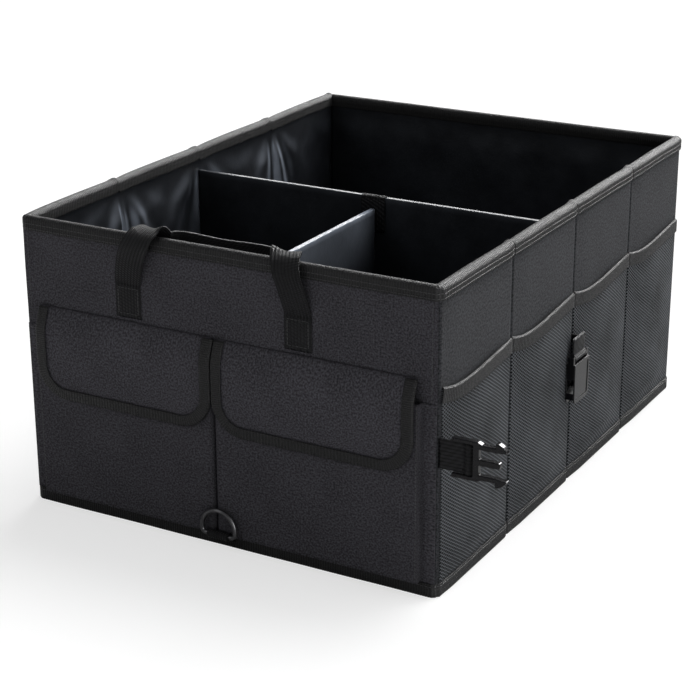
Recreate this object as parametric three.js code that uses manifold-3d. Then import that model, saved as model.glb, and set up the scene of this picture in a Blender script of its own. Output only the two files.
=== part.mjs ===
// Car storage box: a collapsible fabric organiser with board-stiffened walls, three compartments,
// two flapped pouches in front, four mesh pockets on the right side and a side-release buckle pair.
// Millimetres. X runs across the front, Y towards the back, Z up. The origin is the middle of the
// underside, on the surface that the box stands on.

import * as THREE from 'three';
import { mergeVertices } from 'three/addons/utils/BufferGeometryUtils.js';
import Module from 'manifold-3d';

const wasm = await Module();
wasm.setup();

// Overall box
const WIDTH = 390;
const PANEL_LENGTH = 130;
const PANEL_COUNT = 4;
const HEIGHT = 260;

// Layers of a wall, a floor and a divider
const GAP = 0.3;
const COVER_THICKNESS = 1.0;
const BOARD_THICKNESS = 2.5;
const LINING_THICKNESS = 0.8;
const BASE_BOARD_THICKNESS = 3.0;
const FOLD_GAP = 1.0;

// Tape sewn over raw edges
const TAPE_THICKNESS = 1.0;
const RIM_HEIGHT = 12;
const HEM_HEIGHT = 12;
const POCKET_TAPE_HEIGHT = 11;
const FLAP_TAPE_WIDTH = 11;

// Dividers and the webbing loop that ties them together
const CROSS_DIVIDER_HEIGHT = 233;
const LENGTH_DIVIDER_HEIGHT = 222;
const CROSS_DIVIDER_Y = 0;
const LENGTH_DIVIDER_X = 0;
const TAB_WIDTH = 24;
const TAB_OVERLAP = 22;

// Webbing
const WEBBING_WIDTH = 25;
const WEBBING_THICKNESS = 1.2;

// Front pouches, either side of one sewn seam
const POUCH_SEAM_X = -5;
const POUCH_SEAM_HALF = 4;
const POUCH_TOP = 165;
const POUCH_DEPTH = 7;
const POUCH_SIDE_X = 183;
const POUCH_CLOTH = 0.8;
const PLEAT_RUN = 4;

// Flaps over the pouches
const FLAP_HINGE_Z = 183;
const FLAP_PIPING_RADIUS = 0.9;
const FLAP_LENGTH = 76;
const FLAP_SLOPE_LENGTH = 17;
const FLAP_THICKNESS = 1.0;
const FLAP_CORNER_RADIUS = 28;
const FLAP_SPACING = 5;
const LEFT_FLAP_WIDTH = 171;
const RIGHT_FLAP_WIDTH = 180;
const FLAP_TAPE_START = 3;
const FLAP_TAPE_CLOTH = 0.8;

// Mesh pockets on the right side
const MESH_TOP = 177;
const MESH_SAG = 7;
const MESH_BULGE = 8;
const MESH_THICKNESS = 0.8;
const MESH_SEAM_HALF = 1.3;
const MESH_CORNER_ALLOWANCE = 4;
const MESH_TAPE_CLOTH = 0.8;

// Ring at the foot of the front wall
const RING_WIRE_RADIUS = 2;
const RING_BOW_RADIUS = 16;
const RING_LEG = 6;
const RING_BAR_Z = 14;
const RING_CORNER_RADIUS = 4;
const RING_TAB_WIDTH = 20;
const RING_RUNNING_GAP = 0.5;
const RING_TAB_FOOT_Z = 1.5;
const RING_TAB_BEND_Z = 5.5;

// Front handle: sewn ends outside, loop flopped inside over the rim
const HANDLE_SPAN = 162;
const HANDLE_CENTRE_X = -8;
const HANDLE_END_Z = 187;
const HANDLE_SEWN_LENGTH = 30;
const HANDLE_LEFT_LEAN = 18;
const HANDLE_RIGHT_LEAN = 9;
const HANDLE_RISE = 9;
const HANDLE_BULGE = 7;
const HANDLE_BROW_DROP = 7;
const HANDLE_CREST_WIDTH = 10;
const HANDLE_CREST_DROP = 3;
const HANDLE_CREST_TURN = 5;
const HANDLE_FOLD_RUN = 13;
const HANDLE_FOLD_LEAD = 6;
const HANDLE_FOLD_DROP = 7;
const GRIP_LENGTH = 84;
const GRIP_HEIGHT = 13;
const GRIP_THICKNESS = 3.2;
const GRIP_SETBACK = 13;
const GRIP_DROP = 3;
const GRIP_SAG = 1;

// Rear handle: the same webbing, hanging down outside
const REAR_HANDLE_DROP = 78;
const REAR_HANDLE_CORNER = 24;

// Side-release buckle: plug and socket for the same webbing
const BUCKLE_WIDTH = 33;
const BUCKLE_THICKNESS = 5.5;
const BUCKLE_BAR_RADIUS = 1.8;
const BUCKLE_EDGE = 0.6;
const RAIL_WIDTH = 3.4;
const PLUG_RAIL_BACK = 14;
const PLUG_CROSSBAR = 5;
const PLUG_ARM_LENGTH = 24;
const PLUG_ARM_WIDTH = 4;
const PLUG_TIP_LENGTH = 10;
const PLUG_TIP_STEP = 2;
const PLUG_TIP_TAPER = 3;
const PLUG_CHAMFER = 1;
const PLUG_TONGUE_LENGTH = 18;
const PLUG_TONGUE_WIDTH = 5;
const PLUG_Z = 125;
const PLUG_BAR_REACH = 27;
const SOCKET_LENGTH = 37;
const SOCKET_THICKNESS = 9;
const SOCKET_CAVITY_DEPTH = 31;
const SOCKET_CAVITY_WIDTH = 28;
const SOCKET_WINDOW_LENGTH = 13;
const SOCKET_WINDOW_START = 10;
const SOCKET_CORNER_RADIUS = 5;
const SOCKET_BAR_Z = 121;
const SOCKET_STRAP_RISE = 19;
const SOCKET_ROOT_HEIGHT = 8;
const BUCKLE_SLOT_CLEARANCE = 0.6;

// Places that follow from the dimensions above
const DEPTH = PANEL_LENGTH * PANEL_COUNT;
const HALF_WIDTH = WIDTH / 2;
const HALF_DEPTH = DEPTH / 2;
const BOARD_OFFSET = COVER_THICKNESS + GAP;
const LINING_OFFSET = BOARD_OFFSET + BOARD_THICKNESS + GAP;
const WALL_THICKNESS = LINING_OFFSET + LINING_THICKNESS;
const WALL_TOP = HEIGHT - TAPE_THICKNESS - GAP;
const WALL_FOOT = TAPE_THICKNESS + GAP;
const BASE_BOARD_Z = COVER_THICKNESS + GAP;
const BASE_LINING_Z = BASE_BOARD_Z + BASE_BOARD_THICKNESS + GAP;
const FLOOR_TOP = BASE_LINING_Z + LINING_THICKNESS;
const DIVIDER_FOOT = FLOOR_TOP + GAP;
const DIVIDER_HALF = BOARD_THICKNESS / 2 + GAP + LINING_THICKNESS;
const TAPE_REACH = GAP + TAPE_THICKNESS;
const CROSS_DIVIDER_TOP = DIVIDER_FOOT + CROSS_DIVIDER_HEIGHT;
const LENGTH_DIVIDER_TOP = DIVIDER_FOOT + LENGTH_DIVIDER_HEIGHT;
const POUCH_FOOT = HEM_HEIGHT + GAP;

// Cloths, boards and plastics
const oxford = new THREE.MeshStandardMaterial({ color: 0x2b2b30, roughness: 0.85, metalness: 0 });
const sideCloth = new THREE.MeshStandardMaterial({ color: 0x35373a, roughness: 0.85, metalness: 0 });
const coatedLining = new THREE.MeshStandardMaterial({ color: 0x1c1e23, roughness: 0.35, metalness: 0 });
const card = new THREE.MeshStandardMaterial({ color: 0x8a8078, roughness: 0.9, metalness: 0 });
const tape = new THREE.MeshStandardMaterial({ color: 0x1a1a1d, roughness: 0.75, metalness: 0 });
const mesh = new THREE.MeshStandardMaterial({ color: 0x26282a, roughness: 0.8, metalness: 0 });
const webbing = new THREE.MeshStandardMaterial({ color: 0x1d1d20, roughness: 0.8, metalness: 0 });
const glossBlack = new THREE.MeshStandardMaterial({ color: 0x0c0c0e, roughness: 0.2, metalness: 0 });
const ringMetal = new THREE.MeshStandardMaterial({ color: 0x3a3a3c, roughness: 0.35, metalness: 0.8 });

const box = new THREE.Group();

function piece(name, geometry, material) {
  const made = new THREE.Mesh(geometry, material);
  made.name = name;
  box.add(made);
  return made;
}

// A block between two corners
function block(xs, ys, zs) {
  const geometry = new THREE.BoxGeometry(xs[1] - xs[0], ys[1] - ys[0], zs[1] - zs[0]);
  geometry.translate((xs[0] + xs[1]) / 2, (ys[0] + ys[1]) / 2, (zs[0] + zs[1]) / 2);
  return geometry;
}

// Extrusions along one axis of the box; the outline is drawn in the other two
const ALONG_X = new THREE.Matrix4().makeBasis(
  new THREE.Vector3(0, 1, 0), new THREE.Vector3(0, 0, 1), new THREE.Vector3(1, 0, 0));
const ALONG_Y = new THREE.Matrix4().makeBasis(
  new THREE.Vector3(1, 0, 0), new THREE.Vector3(0, 0, 1), new THREE.Vector3(0, -1, 0));

function extrude(shape, length, options = {}) {
  const settings = { depth: length, bevelEnabled: false, curveSegments: 6, ...options };
  return new THREE.ExtrudeGeometry(shape, settings);
}

function extrudeX(shapeYZ, xs, options) {
  return extrude(shapeYZ, xs[1] - xs[0], options).applyMatrix4(ALONG_X).translate(xs[0], 0, 0);
}

function extrudeY(shapeXZ, ys, options) {
  return extrude(shapeXZ, ys[1] - ys[0], options).applyMatrix4(ALONG_Y).translate(0, ys[1], 0);
}

function extrudeZ(shapeXY, zs, options) {
  return extrude(shapeXY, zs[1] - zs[0], options).translate(0, 0, zs[0]);
}

function outline(points) {
  return new THREE.Shape(points.map((p) => new THREE.Vector2(p[0], p[1])));
}

// A bent sheet seen edge on: the line of its middle, thickened by the same amount either side
function sheetOutline(line, half) {
  const points = line.map((p) => new THREE.Vector2(p[0], p[1]));
  const sides = [[], []];
  points.forEach((point, i) => {
    const before = points[Math.max(i - 1, 0)];
    const after = points[Math.min(i + 1, points.length - 1)];
    const into = point.clone().sub(i > 0 ? before : after).normalize().multiplyScalar(i > 0 ? 1 : -1);
    const out = after.clone().sub(i < points.length - 1 ? point : before).normalize();
    const mitre = new THREE.Vector2(-into.y - out.y, into.x + out.x).normalize();
    const reach = half / Math.max(mitre.dot(new THREE.Vector2(-into.y, into.x)), 0.3);
    sides[0].push(point.clone().addScaledVector(mitre, reach));
    sides[1].push(point.clone().addScaledVector(mitre, -reach));
  });
  return new THREE.Shape([...sides[0], ...sides[1].reverse()]);
}

// Joining and cutting closed meshes
function solid(geometry) {
  const bare = geometry.clone();
  bare.deleteAttribute('normal');
  bare.deleteAttribute('uv');
  const merged = mergeVertices(bare, 1e-4);
  return new wasm.Manifold(new wasm.Mesh({
    numProp: 3,
    vertProperties: new Float32Array(merged.attributes.position.array),
    triVerts: new Uint32Array(merged.index.array),
  }));
}

function geometryOf(manifold) {
  const cut = manifold.getMesh();
  const geometry = new THREE.BufferGeometry();
  geometry.setAttribute('position', new THREE.BufferAttribute(new Float32Array(cut.vertProperties), 3));
  geometry.setIndex(new THREE.BufferAttribute(new Uint32Array(cut.triVerts), 1));
  geometry.computeVertexNormals();
  return geometry;
}

function joined(parts) {
  return geometryOf(parts.map(solid).reduce((whole, part) => whole.add(part)));
}

function cut(body, holes) {
  return geometryOf(holes.map(solid).reduce((rest, hole) => rest.subtract(hole), solid(body)));
}

// A skin through rings of points, closed on itself or capped at both ends
function skin(rings, closed) {
  const count = rings[0].length;
  const positions = rings.flat().flatMap((p) => [p.x, p.y, p.z]);
  const faces = [];
  const last = closed ? rings.length : rings.length - 1;
  for (let i = 0; i < last; i += 1) {
    const next = (i + 1) % rings.length;
    for (let j = 0; j < count; j += 1) {
      const k = (j + 1) % count;
      faces.push(i * count + j, next * count + j, next * count + k);
      faces.push(i * count + j, next * count + k, i * count + k);
    }
  }
  for (let j = 1; j < count - 1 && !closed; j += 1) {
    const end = (rings.length - 1) * count;
    faces.push(0, j, j + 1);
    faces.push(end, end + j + 1, end + j);
  }
  const geometry = new THREE.BufferGeometry();
  geometry.setAttribute('position', new THREE.Float32BufferAttribute(positions, 3));
  geometry.setIndex(faces);
  geometry.computeVertexNormals();
  return geometry;
}

// Flat webbing through stations, each with its place, the way its width runs and its section
function ribbon(stations, steps) {
  const path = new THREE.CatmullRomCurve3(stations.map((s) => new THREE.Vector3(...s.at)));
  const rings = [];
  for (let i = 0; i <= steps; i += 1) {
    const t = i / steps;
    const spot = Math.min(t * (stations.length - 1), stations.length - 1 - 1e-9);
    const from = stations[Math.floor(spot)];
    const to = stations[Math.floor(spot) + 1];
    const share = spot - Math.floor(spot);
    const along = path.getTangent(t);
    const across = new THREE.Vector3(...from.across).lerp(new THREE.Vector3(...to.across), share);
    across.addScaledVector(along, -across.dot(along)).normalize();
    const normal = new THREE.Vector3().crossVectors(along, across);
    const wide = THREE.MathUtils.lerp(from.wide, to.wide, share) / 2;
    const thick = THREE.MathUtils.lerp(from.thick, to.thick, share) / 2;
    const corners = [[-1, 1], [1, 1], [1, -1], [-1, -1]];
    rings.push(corners.map(([a, b]) => path.getPoint(t)
      .addScaledVector(across, a * wide)
      .addScaledVector(normal, b * thick)));
  }
  return skin(rings, false);
}

// Floor: cover cloth, two boards that part under the cross divider, and a lining
const BASE_HALF_X = HALF_WIDTH - COVER_THICKNESS - GAP;
const BASE_HALF_Y = HALF_DEPTH - COVER_THICKNESS - GAP;
const BOARD_HALF_X = HALF_WIDTH - BOARD_OFFSET - BOARD_THICKNESS - GAP;
const BOARD_HALF_Y = HALF_DEPTH - BOARD_OFFSET - BOARD_THICKNESS - GAP;
const INNER_HALF_X = HALF_WIDTH - WALL_THICKNESS;
const INNER_HALF_Y = HALF_DEPTH - WALL_THICKNESS;

piece('base_cover', block(
  [-BASE_HALF_X, BASE_HALF_X], [-BASE_HALF_Y, BASE_HALF_Y], [0, COVER_THICKNESS]), oxford);
for (const [name, ys] of [
  ['base_board_front', [-BOARD_HALF_Y, CROSS_DIVIDER_Y - FOLD_GAP / 2]],
  ['base_board_rear', [CROSS_DIVIDER_Y + FOLD_GAP / 2, BOARD_HALF_Y]],
]) {
  const zs = [BASE_BOARD_Z, BASE_BOARD_Z + BASE_BOARD_THICKNESS];
  piece(name, block([-BOARD_HALF_X, BOARD_HALF_X], ys, zs), card);
}
piece('base_lining', block(
  [-INNER_HALF_X + GAP, INNER_HALF_X - GAP], [-INNER_HALF_Y + GAP, INNER_HALF_Y - GAP],
  [BASE_LINING_Z, FLOOR_TOP]), coatedLining);

// Walls: cover cloth outside, stiffening board, lining inside
function endWall(name, side) {
  const layer = (offset, thickness) => {
    const ys = [side * (HALF_DEPTH - offset), side * (HALF_DEPTH - offset - thickness)];
    return ys.sort((a, b) => a - b);
  };
  const boardHalf = HALF_WIDTH - BOARD_OFFSET;
  const liningHalf = HALF_WIDTH - LINING_OFFSET;
  piece(`${name}_cover`, block(
    [-HALF_WIDTH, HALF_WIDTH], layer(0, COVER_THICKNESS), [WALL_FOOT, WALL_TOP]), oxford);
  piece(`${name}_board`, block(
    [-boardHalf, boardHalf], layer(BOARD_OFFSET, BOARD_THICKNESS), [WALL_FOOT, WALL_TOP]), card);
  piece(`${name}_lining`, block(
    [-liningHalf, liningHalf], layer(LINING_OFFSET, LINING_THICKNESS),
    [BASE_LINING_Z, WALL_TOP]), coatedLining);
}

function sideWall(name, side) {
  const layer = (offset, thickness) => {
    const xs = [side * (HALF_WIDTH - offset), side * (HALF_WIDTH - offset - thickness)];
    return xs.sort((a, b) => a - b);
  };
  const coverHalf = HALF_DEPTH - COVER_THICKNESS - GAP;
  const liningHalf = HALF_DEPTH - WALL_THICKNESS - GAP;
  piece(`${name}_cover`, block(
    layer(0, COVER_THICKNESS), [-coverHalf, coverHalf], [WALL_FOOT, WALL_TOP]), sideCloth);
  for (let i = 0; i < PANEL_COUNT; i += 1) {
    const from = -HALF_DEPTH + i * PANEL_LENGTH + FOLD_GAP / 2;
    const to = -HALF_DEPTH + (i + 1) * PANEL_LENGTH - FOLD_GAP / 2;
    const ys = [Math.max(from, -BOARD_HALF_Y), Math.min(to, BOARD_HALF_Y)];
    const board = block(layer(BOARD_OFFSET, BOARD_THICKNESS), ys, [WALL_FOOT, WALL_TOP]);
    piece(`${name}_board_${i + 1}`, board, card);
  }
  piece(`${name}_lining`, block(
    layer(LINING_OFFSET, LINING_THICKNESS), [-liningHalf, liningHalf],
    [BASE_LINING_Z, WALL_TOP]), coatedLining);
}

endWall('front', -1);
endWall('rear', 1);
sideWall('right', 1);
sideWall('left', -1);

// Tape over the rim, straddling the walls, and round the foot, turned under them
function frameBlock(reach, zs) {
  return block([-HALF_WIDTH - reach, HALF_WIDTH + reach], [-HALF_DEPTH - reach, HALF_DEPTH + reach], zs);
}

const RIM_FOOT = HEIGHT - RIM_HEIGHT;
const rimChannel = cut(
  frameBlock(GAP, [RIM_FOOT - 1, WALL_TOP + GAP]),
  [frameBlock(-WALL_THICKNESS - GAP, [RIM_FOOT - 2, HEIGHT + 1])]);
piece('rim_binding', cut(
  frameBlock(TAPE_REACH, [RIM_FOOT, HEIGHT]),
  [frameBlock(-WALL_THICKNESS - TAPE_REACH, [RIM_FOOT - 1, HEIGHT + 1]), rimChannel]), tape);

piece('hem_binding', cut(
  frameBlock(TAPE_REACH, [0, HEM_HEIGHT]),
  [frameBlock(GAP, [TAPE_THICKNESS, HEM_HEIGHT + 1]), frameBlock(-COVER_THICKNESS, [-1, HEM_HEIGHT])]),
tape);

// Dividers: a board in a cloth sleeve that is open at the floor
function sleeveOutline(top) {
  const board = BOARD_THICKNESS / 2 + GAP;
  return outline([
    [-DIVIDER_HALF, DIVIDER_FOOT], [-board, DIVIDER_FOOT], [-board, top - LINING_THICKNESS],
    [board, top - LINING_THICKNESS], [board, DIVIDER_FOOT], [DIVIDER_HALF, DIVIDER_FOOT],
    [DIVIDER_HALF, top], [-DIVIDER_HALF, top],
  ]);
}

const CROSS_HALF = INNER_HALF_X - GAP;
const LENGTH_FRONT = -INNER_HALF_Y + GAP;
const LENGTH_REAR = CROSS_DIVIDER_Y - DIVIDER_HALF - TAPE_REACH - GAP;

piece('cross_divider_cover', extrudeX(
  sleeveOutline(CROSS_DIVIDER_TOP), [-CROSS_HALF, CROSS_HALF]), coatedLining)
  .position.y = CROSS_DIVIDER_Y;
piece('cross_divider_board', block(
  [-CROSS_HALF, CROSS_HALF], [-BOARD_THICKNESS / 2, BOARD_THICKNESS / 2],
  [DIVIDER_FOOT, CROSS_DIVIDER_TOP - LINING_THICKNESS - GAP]), card)
  .position.y = CROSS_DIVIDER_Y;
piece('length_divider_cover', extrudeY(
  sleeveOutline(LENGTH_DIVIDER_TOP), [LENGTH_FRONT, LENGTH_REAR]), coatedLining)
  .position.x = LENGTH_DIVIDER_X;
piece('length_divider_board', block(
  [-BOARD_THICKNESS / 2, BOARD_THICKNESS / 2], [LENGTH_FRONT, LENGTH_REAR],
  [DIVIDER_FOOT, LENGTH_DIVIDER_TOP - LINING_THICKNESS - GAP]), card)
  .position.x = LENGTH_DIVIDER_X;

const tabHalf = DIVIDER_HALF + GAP;
const tabTop = CROSS_DIVIDER_TOP + GAP;
const tabFoot = LENGTH_DIVIDER_TOP - TAB_OVERLAP;
piece('divider_tab', extrudeX(outline([
  [-tabHalf - TAPE_THICKNESS, tabFoot], [-tabHalf, tabFoot], [-tabHalf, tabTop],
  [tabHalf, tabTop], [tabHalf, tabFoot], [tabHalf + TAPE_THICKNESS, tabFoot],
  [tabHalf + TAPE_THICKNESS, tabTop + TAPE_THICKNESS],
  [-tabHalf - TAPE_THICKNESS, tabTop + TAPE_THICKNESS],
]), [-TAB_WIDTH / 2, TAB_WIDTH / 2]), webbing)
  .position.set(LENGTH_DIVIDER_X, CROSS_DIVIDER_Y, 0);

// Pouches: one cloth each, pleated out from the wall at both ends, closed at the foot
function pouch(name, seam, side) {
  const wallY = -HALF_DEPTH - GAP - POUCH_CLOTH / 2;
  const frontY = -HALF_DEPTH - GAP - POUCH_DEPTH + POUCH_CLOTH / 2;
  const start = POUCH_SEAM_X + side * seam;
  const fold = side * POUCH_SIDE_X;
  const corner = side * HALF_WIDTH;
  const line = [
    [start, wallY], [start + side * POUCH_SEAM_HALF, wallY],
    [start + side * (POUCH_SEAM_HALF + PLEAT_RUN), frontY], [fold, frontY],
    [fold, wallY], [corner, wallY],
  ];
  const zs = [POUCH_FOOT, POUCH_TOP];
  const cloth = extrudeZ(sheetOutline(line, POUCH_CLOTH / 2), zs);
  const footLine = [line[1], line[2], line[3], line[4]];
  const foot = extrudeZ(outline(footLine), [POUCH_FOOT, POUCH_FOOT + POUCH_CLOTH]);
  piece(name, joined([cloth, foot]), oxford);
}

pouch('pouch_left', GAP, -1);
pouch('pouch_right', GAP, 1);

// Flaps: a cloth that hangs from a piped seam, slopes out over the pouch and drops in front of it
const FLAP_HINGE_Y = -HALF_DEPTH - GAP - FLAP_PIPING_RADIUS;
const FLAP_FRONT_Y = -HALF_DEPTH - GAP - POUCH_DEPTH - GAP - FLAP_TAPE_CLOTH - GAP - FLAP_THICKNESS / 2;
const FLAP_FOOT = FLAP_HINGE_Z - FLAP_LENGTH;

function flapPrism(span, half) {
  const line = [
    [FLAP_HINGE_Y, FLAP_HINGE_Z], [FLAP_FRONT_Y, FLAP_HINGE_Z - FLAP_SLOPE_LENGTH],
    [FLAP_FRONT_Y, FLAP_FOOT - FLAP_TAPE_WIDTH],
  ];
  return extrudeX(sheetOutline(line, half), span);
}

function flapOutline(span, grow) {
  const [left, right] = [span[0] - grow, span[1] + grow];
  const foot = FLAP_FOOT - grow;
  const radius = FLAP_CORNER_RADIUS + grow;
  const top = FLAP_HINGE_Z + FLAP_CORNER_RADIUS;
  const shape = new THREE.Shape();
  shape.moveTo(left, top);
  shape.lineTo(left, foot + radius);
  shape.absarc(left + radius, foot + radius, radius, Math.PI, Math.PI * 1.5, false);
  shape.lineTo(right - radius, foot);
  shape.absarc(right - radius, foot + radius, radius, Math.PI * 1.5, Math.PI * 2, false);
  shape.lineTo(right, top);
  const deep = -HALF_DEPTH - 2 * (POUCH_DEPTH + FLAP_TAPE_WIDTH);
  return extrudeY(shape, [deep, -HALF_DEPTH]);
}

function flap(name, span) {
  const wide = [span[0] - FLAP_TAPE_WIDTH, span[1] + FLAP_TAPE_WIDTH];
  const piping = new THREE.CylinderGeometry(
    FLAP_PIPING_RADIUS, FLAP_PIPING_RADIUS, span[1] - span[0], 12);
  piping.rotateZ(Math.PI / 2).translate((span[0] + span[1]) / 2, FLAP_HINGE_Y, FLAP_HINGE_Z);
  const cloth = solid(flapPrism(wide, FLAP_THICKNESS / 2)).intersect(solid(flapOutline(span, 0)));
  piece(name, geometryOf(cloth.add(solid(piping))), oxford);

  const reach = FLAP_THICKNESS / 2 + GAP;
  const tapeTop = FLAP_HINGE_Z - FLAP_TAPE_START;
  const above = block(
    [wide[0] - 1, wide[1] + 1], [2 * FLAP_FRONT_Y, 0], [tapeTop, tapeTop + 2 * FLAP_CORNER_RADIUS]);
  const outer = solid(flapPrism(wide, reach + FLAP_TAPE_CLOTH))
    .intersect(solid(flapOutline(span, GAP + FLAP_TAPE_CLOTH)));
  const slot = solid(flapPrism(wide, reach)).intersect(solid(flapOutline(span, GAP)));
  const inside = solid(flapOutline(span, -FLAP_TAPE_WIDTH));
  const binding = outer.subtract(slot).subtract(inside).subtract(solid(above));
  piece(`${name}_binding`, geometryOf(binding), tape);
}

flap('flap_left', [
  POUCH_SEAM_X - FLAP_SPACING / 2 - LEFT_FLAP_WIDTH, POUCH_SEAM_X - FLAP_SPACING / 2]);
flap('flap_right', [
  POUCH_SEAM_X + FLAP_SPACING / 2, POUCH_SEAM_X + FLAP_SPACING / 2 + RIGHT_FLAP_WIDTH]);

// Mesh pockets: a bowed sheet per panel with a sagging top edge, taped along it
const MESH_FOOT = HEM_HEIGHT + GAP;

function bow(ys, grow, steps = 12) {
  const middle = (ys[0] + ys[1]) / 2;
  const half = (ys[1] - ys[0]) / 2;
  const inner = [];
  const outer = [];
  for (let i = 0; i <= steps; i += 1) {
    const share = -1 + (2 * i) / steps;
    const rise = (MESH_BULGE - MESH_THICKNESS) * (1 - share * share);
    inner.push([HALF_WIDTH + GAP + Math.max(rise - grow, 0), middle + share * half]);
    outer.push([HALF_WIDTH + GAP + rise + MESH_THICKNESS + grow, middle + share * half]);
  }
  return { inner, outer };
}

function sagLine(ys, drop, steps = 8) {
  const points = [];
  for (let i = 0; i <= steps; i += 1) {
    const share = -1 + (2 * i) / steps;
    const sag = MESH_SAG * (1 - share * share);
    points.push([ys[0] + (ys[1] - ys[0]) * (i / steps), MESH_TOP - sag - drop]);
  }
  return points;
}

function meshPocket(index, ys) {
  const far = HALF_WIDTH + 2 * MESH_BULGE;
  const near = HALF_WIDTH;
  const thin = bow(ys, 0);
  const cloth = extrudeZ(outline([...thin.outer, ...thin.inner.reverse()]), [MESH_FOOT, HEIGHT]);
  const foot = extrudeZ(outline([...bow(ys, 0).outer,
    [HALF_WIDTH + GAP, ys[1]], [HALF_WIDTH + GAP, ys[0]]]), [MESH_FOOT, MESH_FOOT + MESH_THICKNESS]);
  const above = (drop) => extrudeX(
    outline([...sagLine(ys, drop), [ys[1] + 1, MESH_TOP - drop], [ys[1] + 1, HEIGHT + 1],
      [ys[0] - 1, HEIGHT + 1], [ys[0] - 1, MESH_TOP - drop]]), [near, far]);
  piece(`mesh_pocket_${index}`, cut(joined([cloth, foot]), [above(0)]), mesh);

  const fat = bow(ys, GAP + MESH_TAPE_CLOTH);
  const slim = bow(ys, GAP);
  const hull = extrudeZ(
    outline([...fat.outer, ...fat.inner.reverse()]), [MESH_TOP - 3 * POCKET_TAPE_HEIGHT, HEIGHT]);
  const slotCloth = extrudeZ(
    outline([...slim.outer, ...slim.inner.reverse()]), [MESH_FOOT, HEIGHT]);
  const slot = cut(slotCloth, [above(-GAP)]);
  const below = extrudeX(
    outline([...sagLine(ys, POCKET_TAPE_HEIGHT), [ys[1] + 1, MESH_TOP - POCKET_TAPE_HEIGHT],
      [ys[1] + 1, MESH_FOOT], [ys[0] - 1, MESH_FOOT], [ys[0] - 1, MESH_TOP - POCKET_TAPE_HEIGHT]]),
    [near, far]);
  piece(`mesh_pocket_binding_${index}`,
    cut(hull, [above(-GAP - MESH_TAPE_CLOTH), below, slot]), tape);
}

for (let i = 0; i < PANEL_COUNT; i += 1) {
  const atFront = i === 0 ? MESH_CORNER_ALLOWANCE : MESH_SEAM_HALF;
  const atRear = i === PANEL_COUNT - 1 ? MESH_CORNER_ALLOWANCE : MESH_SEAM_HALF;
  const from = -HALF_DEPTH + i * PANEL_LENGTH + atFront;
  const to = -HALF_DEPTH + (i + 1) * PANEL_LENGTH - atRear;
  meshPocket(i + 1, [from, to]);
}

// Ring and the folded webbing that holds its bar to the hem
const RING_EYE = RING_WIRE_RADIUS + RING_RUNNING_GAP;
const RING_TAB_RADIUS = RING_EYE + WEBBING_THICKNESS;
const RING_Y = -HALF_DEPTH - GAP - POUCH_DEPTH - GAP - RING_TAB_RADIUS;

function ringPath() {
  const points = [];
  const top = RING_BAR_Z + RING_LEG;
  const corner = RING_CORNER_RADIUS;
  for (let i = 0; i <= 16; i += 1) {
    const angle = (Math.PI * i) / 16;
    points.push([RING_BOW_RADIUS * Math.cos(angle), top + RING_BOW_RADIUS * Math.sin(angle)]);
  }
  for (const side of [-1, 1]) {
    for (let i = 0; i <= 4; i += 1) {
      const turn = (Math.PI / 2) * (side < 0 ? i / 4 : 1 - i / 4);
      points.push([
        side * (RING_BOW_RADIUS - corner + corner * Math.cos(turn)),
        RING_BAR_Z + corner - corner * Math.sin(turn)]);
    }
  }
  return points;
}

function ringGeometry() {
  const path = ringPath().map((p) => new THREE.Vector3(p[0], 0, p[1]));
  const rings = path.map((point, i) => {
    const before = path[(i + path.length - 1) % path.length];
    const after = path[(i + 1) % path.length];
    const along = after.clone().sub(before).normalize();
    const out = new THREE.Vector3().crossVectors(along, new THREE.Vector3(0, 1, 0));
    const section = [];
    for (let j = 0; j < 8; j += 1) {
      const angle = (Math.PI * j) / 4;
      section.push(point.clone()
        .addScaledVector(out, RING_WIRE_RADIUS * Math.cos(angle))
        .add(new THREE.Vector3(0, RING_WIRE_RADIUS * Math.sin(angle), 0)));
    }
    return section;
  });
  return skin(rings, true);
}

piece('d_ring', ringGeometry(), ringMetal).position.y = RING_Y;

function disc(radius, centre, xs) {
  const shape = new THREE.Shape();
  shape.absarc(centre[0], centre[1], radius, 0, Math.PI * 2, false);
  return extrudeX(shape, xs, { curveSegments: 20 });
}

const ringTabHalf = RING_TAB_WIDTH / 2;
const ringTabY = -HALF_DEPTH - TAPE_REACH - GAP - WEBBING_THICKNESS;
const ringTabLine = [
  [ringTabY, RING_TAB_FOOT_Z], [ringTabY, RING_TAB_BEND_Z],
  [RING_Y, RING_BAR_Z - RING_EYE - WEBBING_THICKNESS / 2],
];
piece('d_ring_tab', cut(
  joined([
    disc(RING_TAB_RADIUS, [RING_Y, RING_BAR_Z], [-ringTabHalf, ringTabHalf]),
    extrudeX(sheetOutline(ringTabLine, WEBBING_THICKNESS), [-ringTabHalf, ringTabHalf]),
  ]),
  [disc(RING_EYE, [RING_Y, RING_BAR_Z], [-ringTabHalf - 1, ringTabHalf + 1])]), webbing);

// Handles: webbing whose ends are sewn flat to the outside of an end wall
const SEWN_OFFSET = GAP + WEBBING_THICKNESS / 2;
const STITCH_TURN = 2;
const ACROSS_X = [1, 0, 0];

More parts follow.
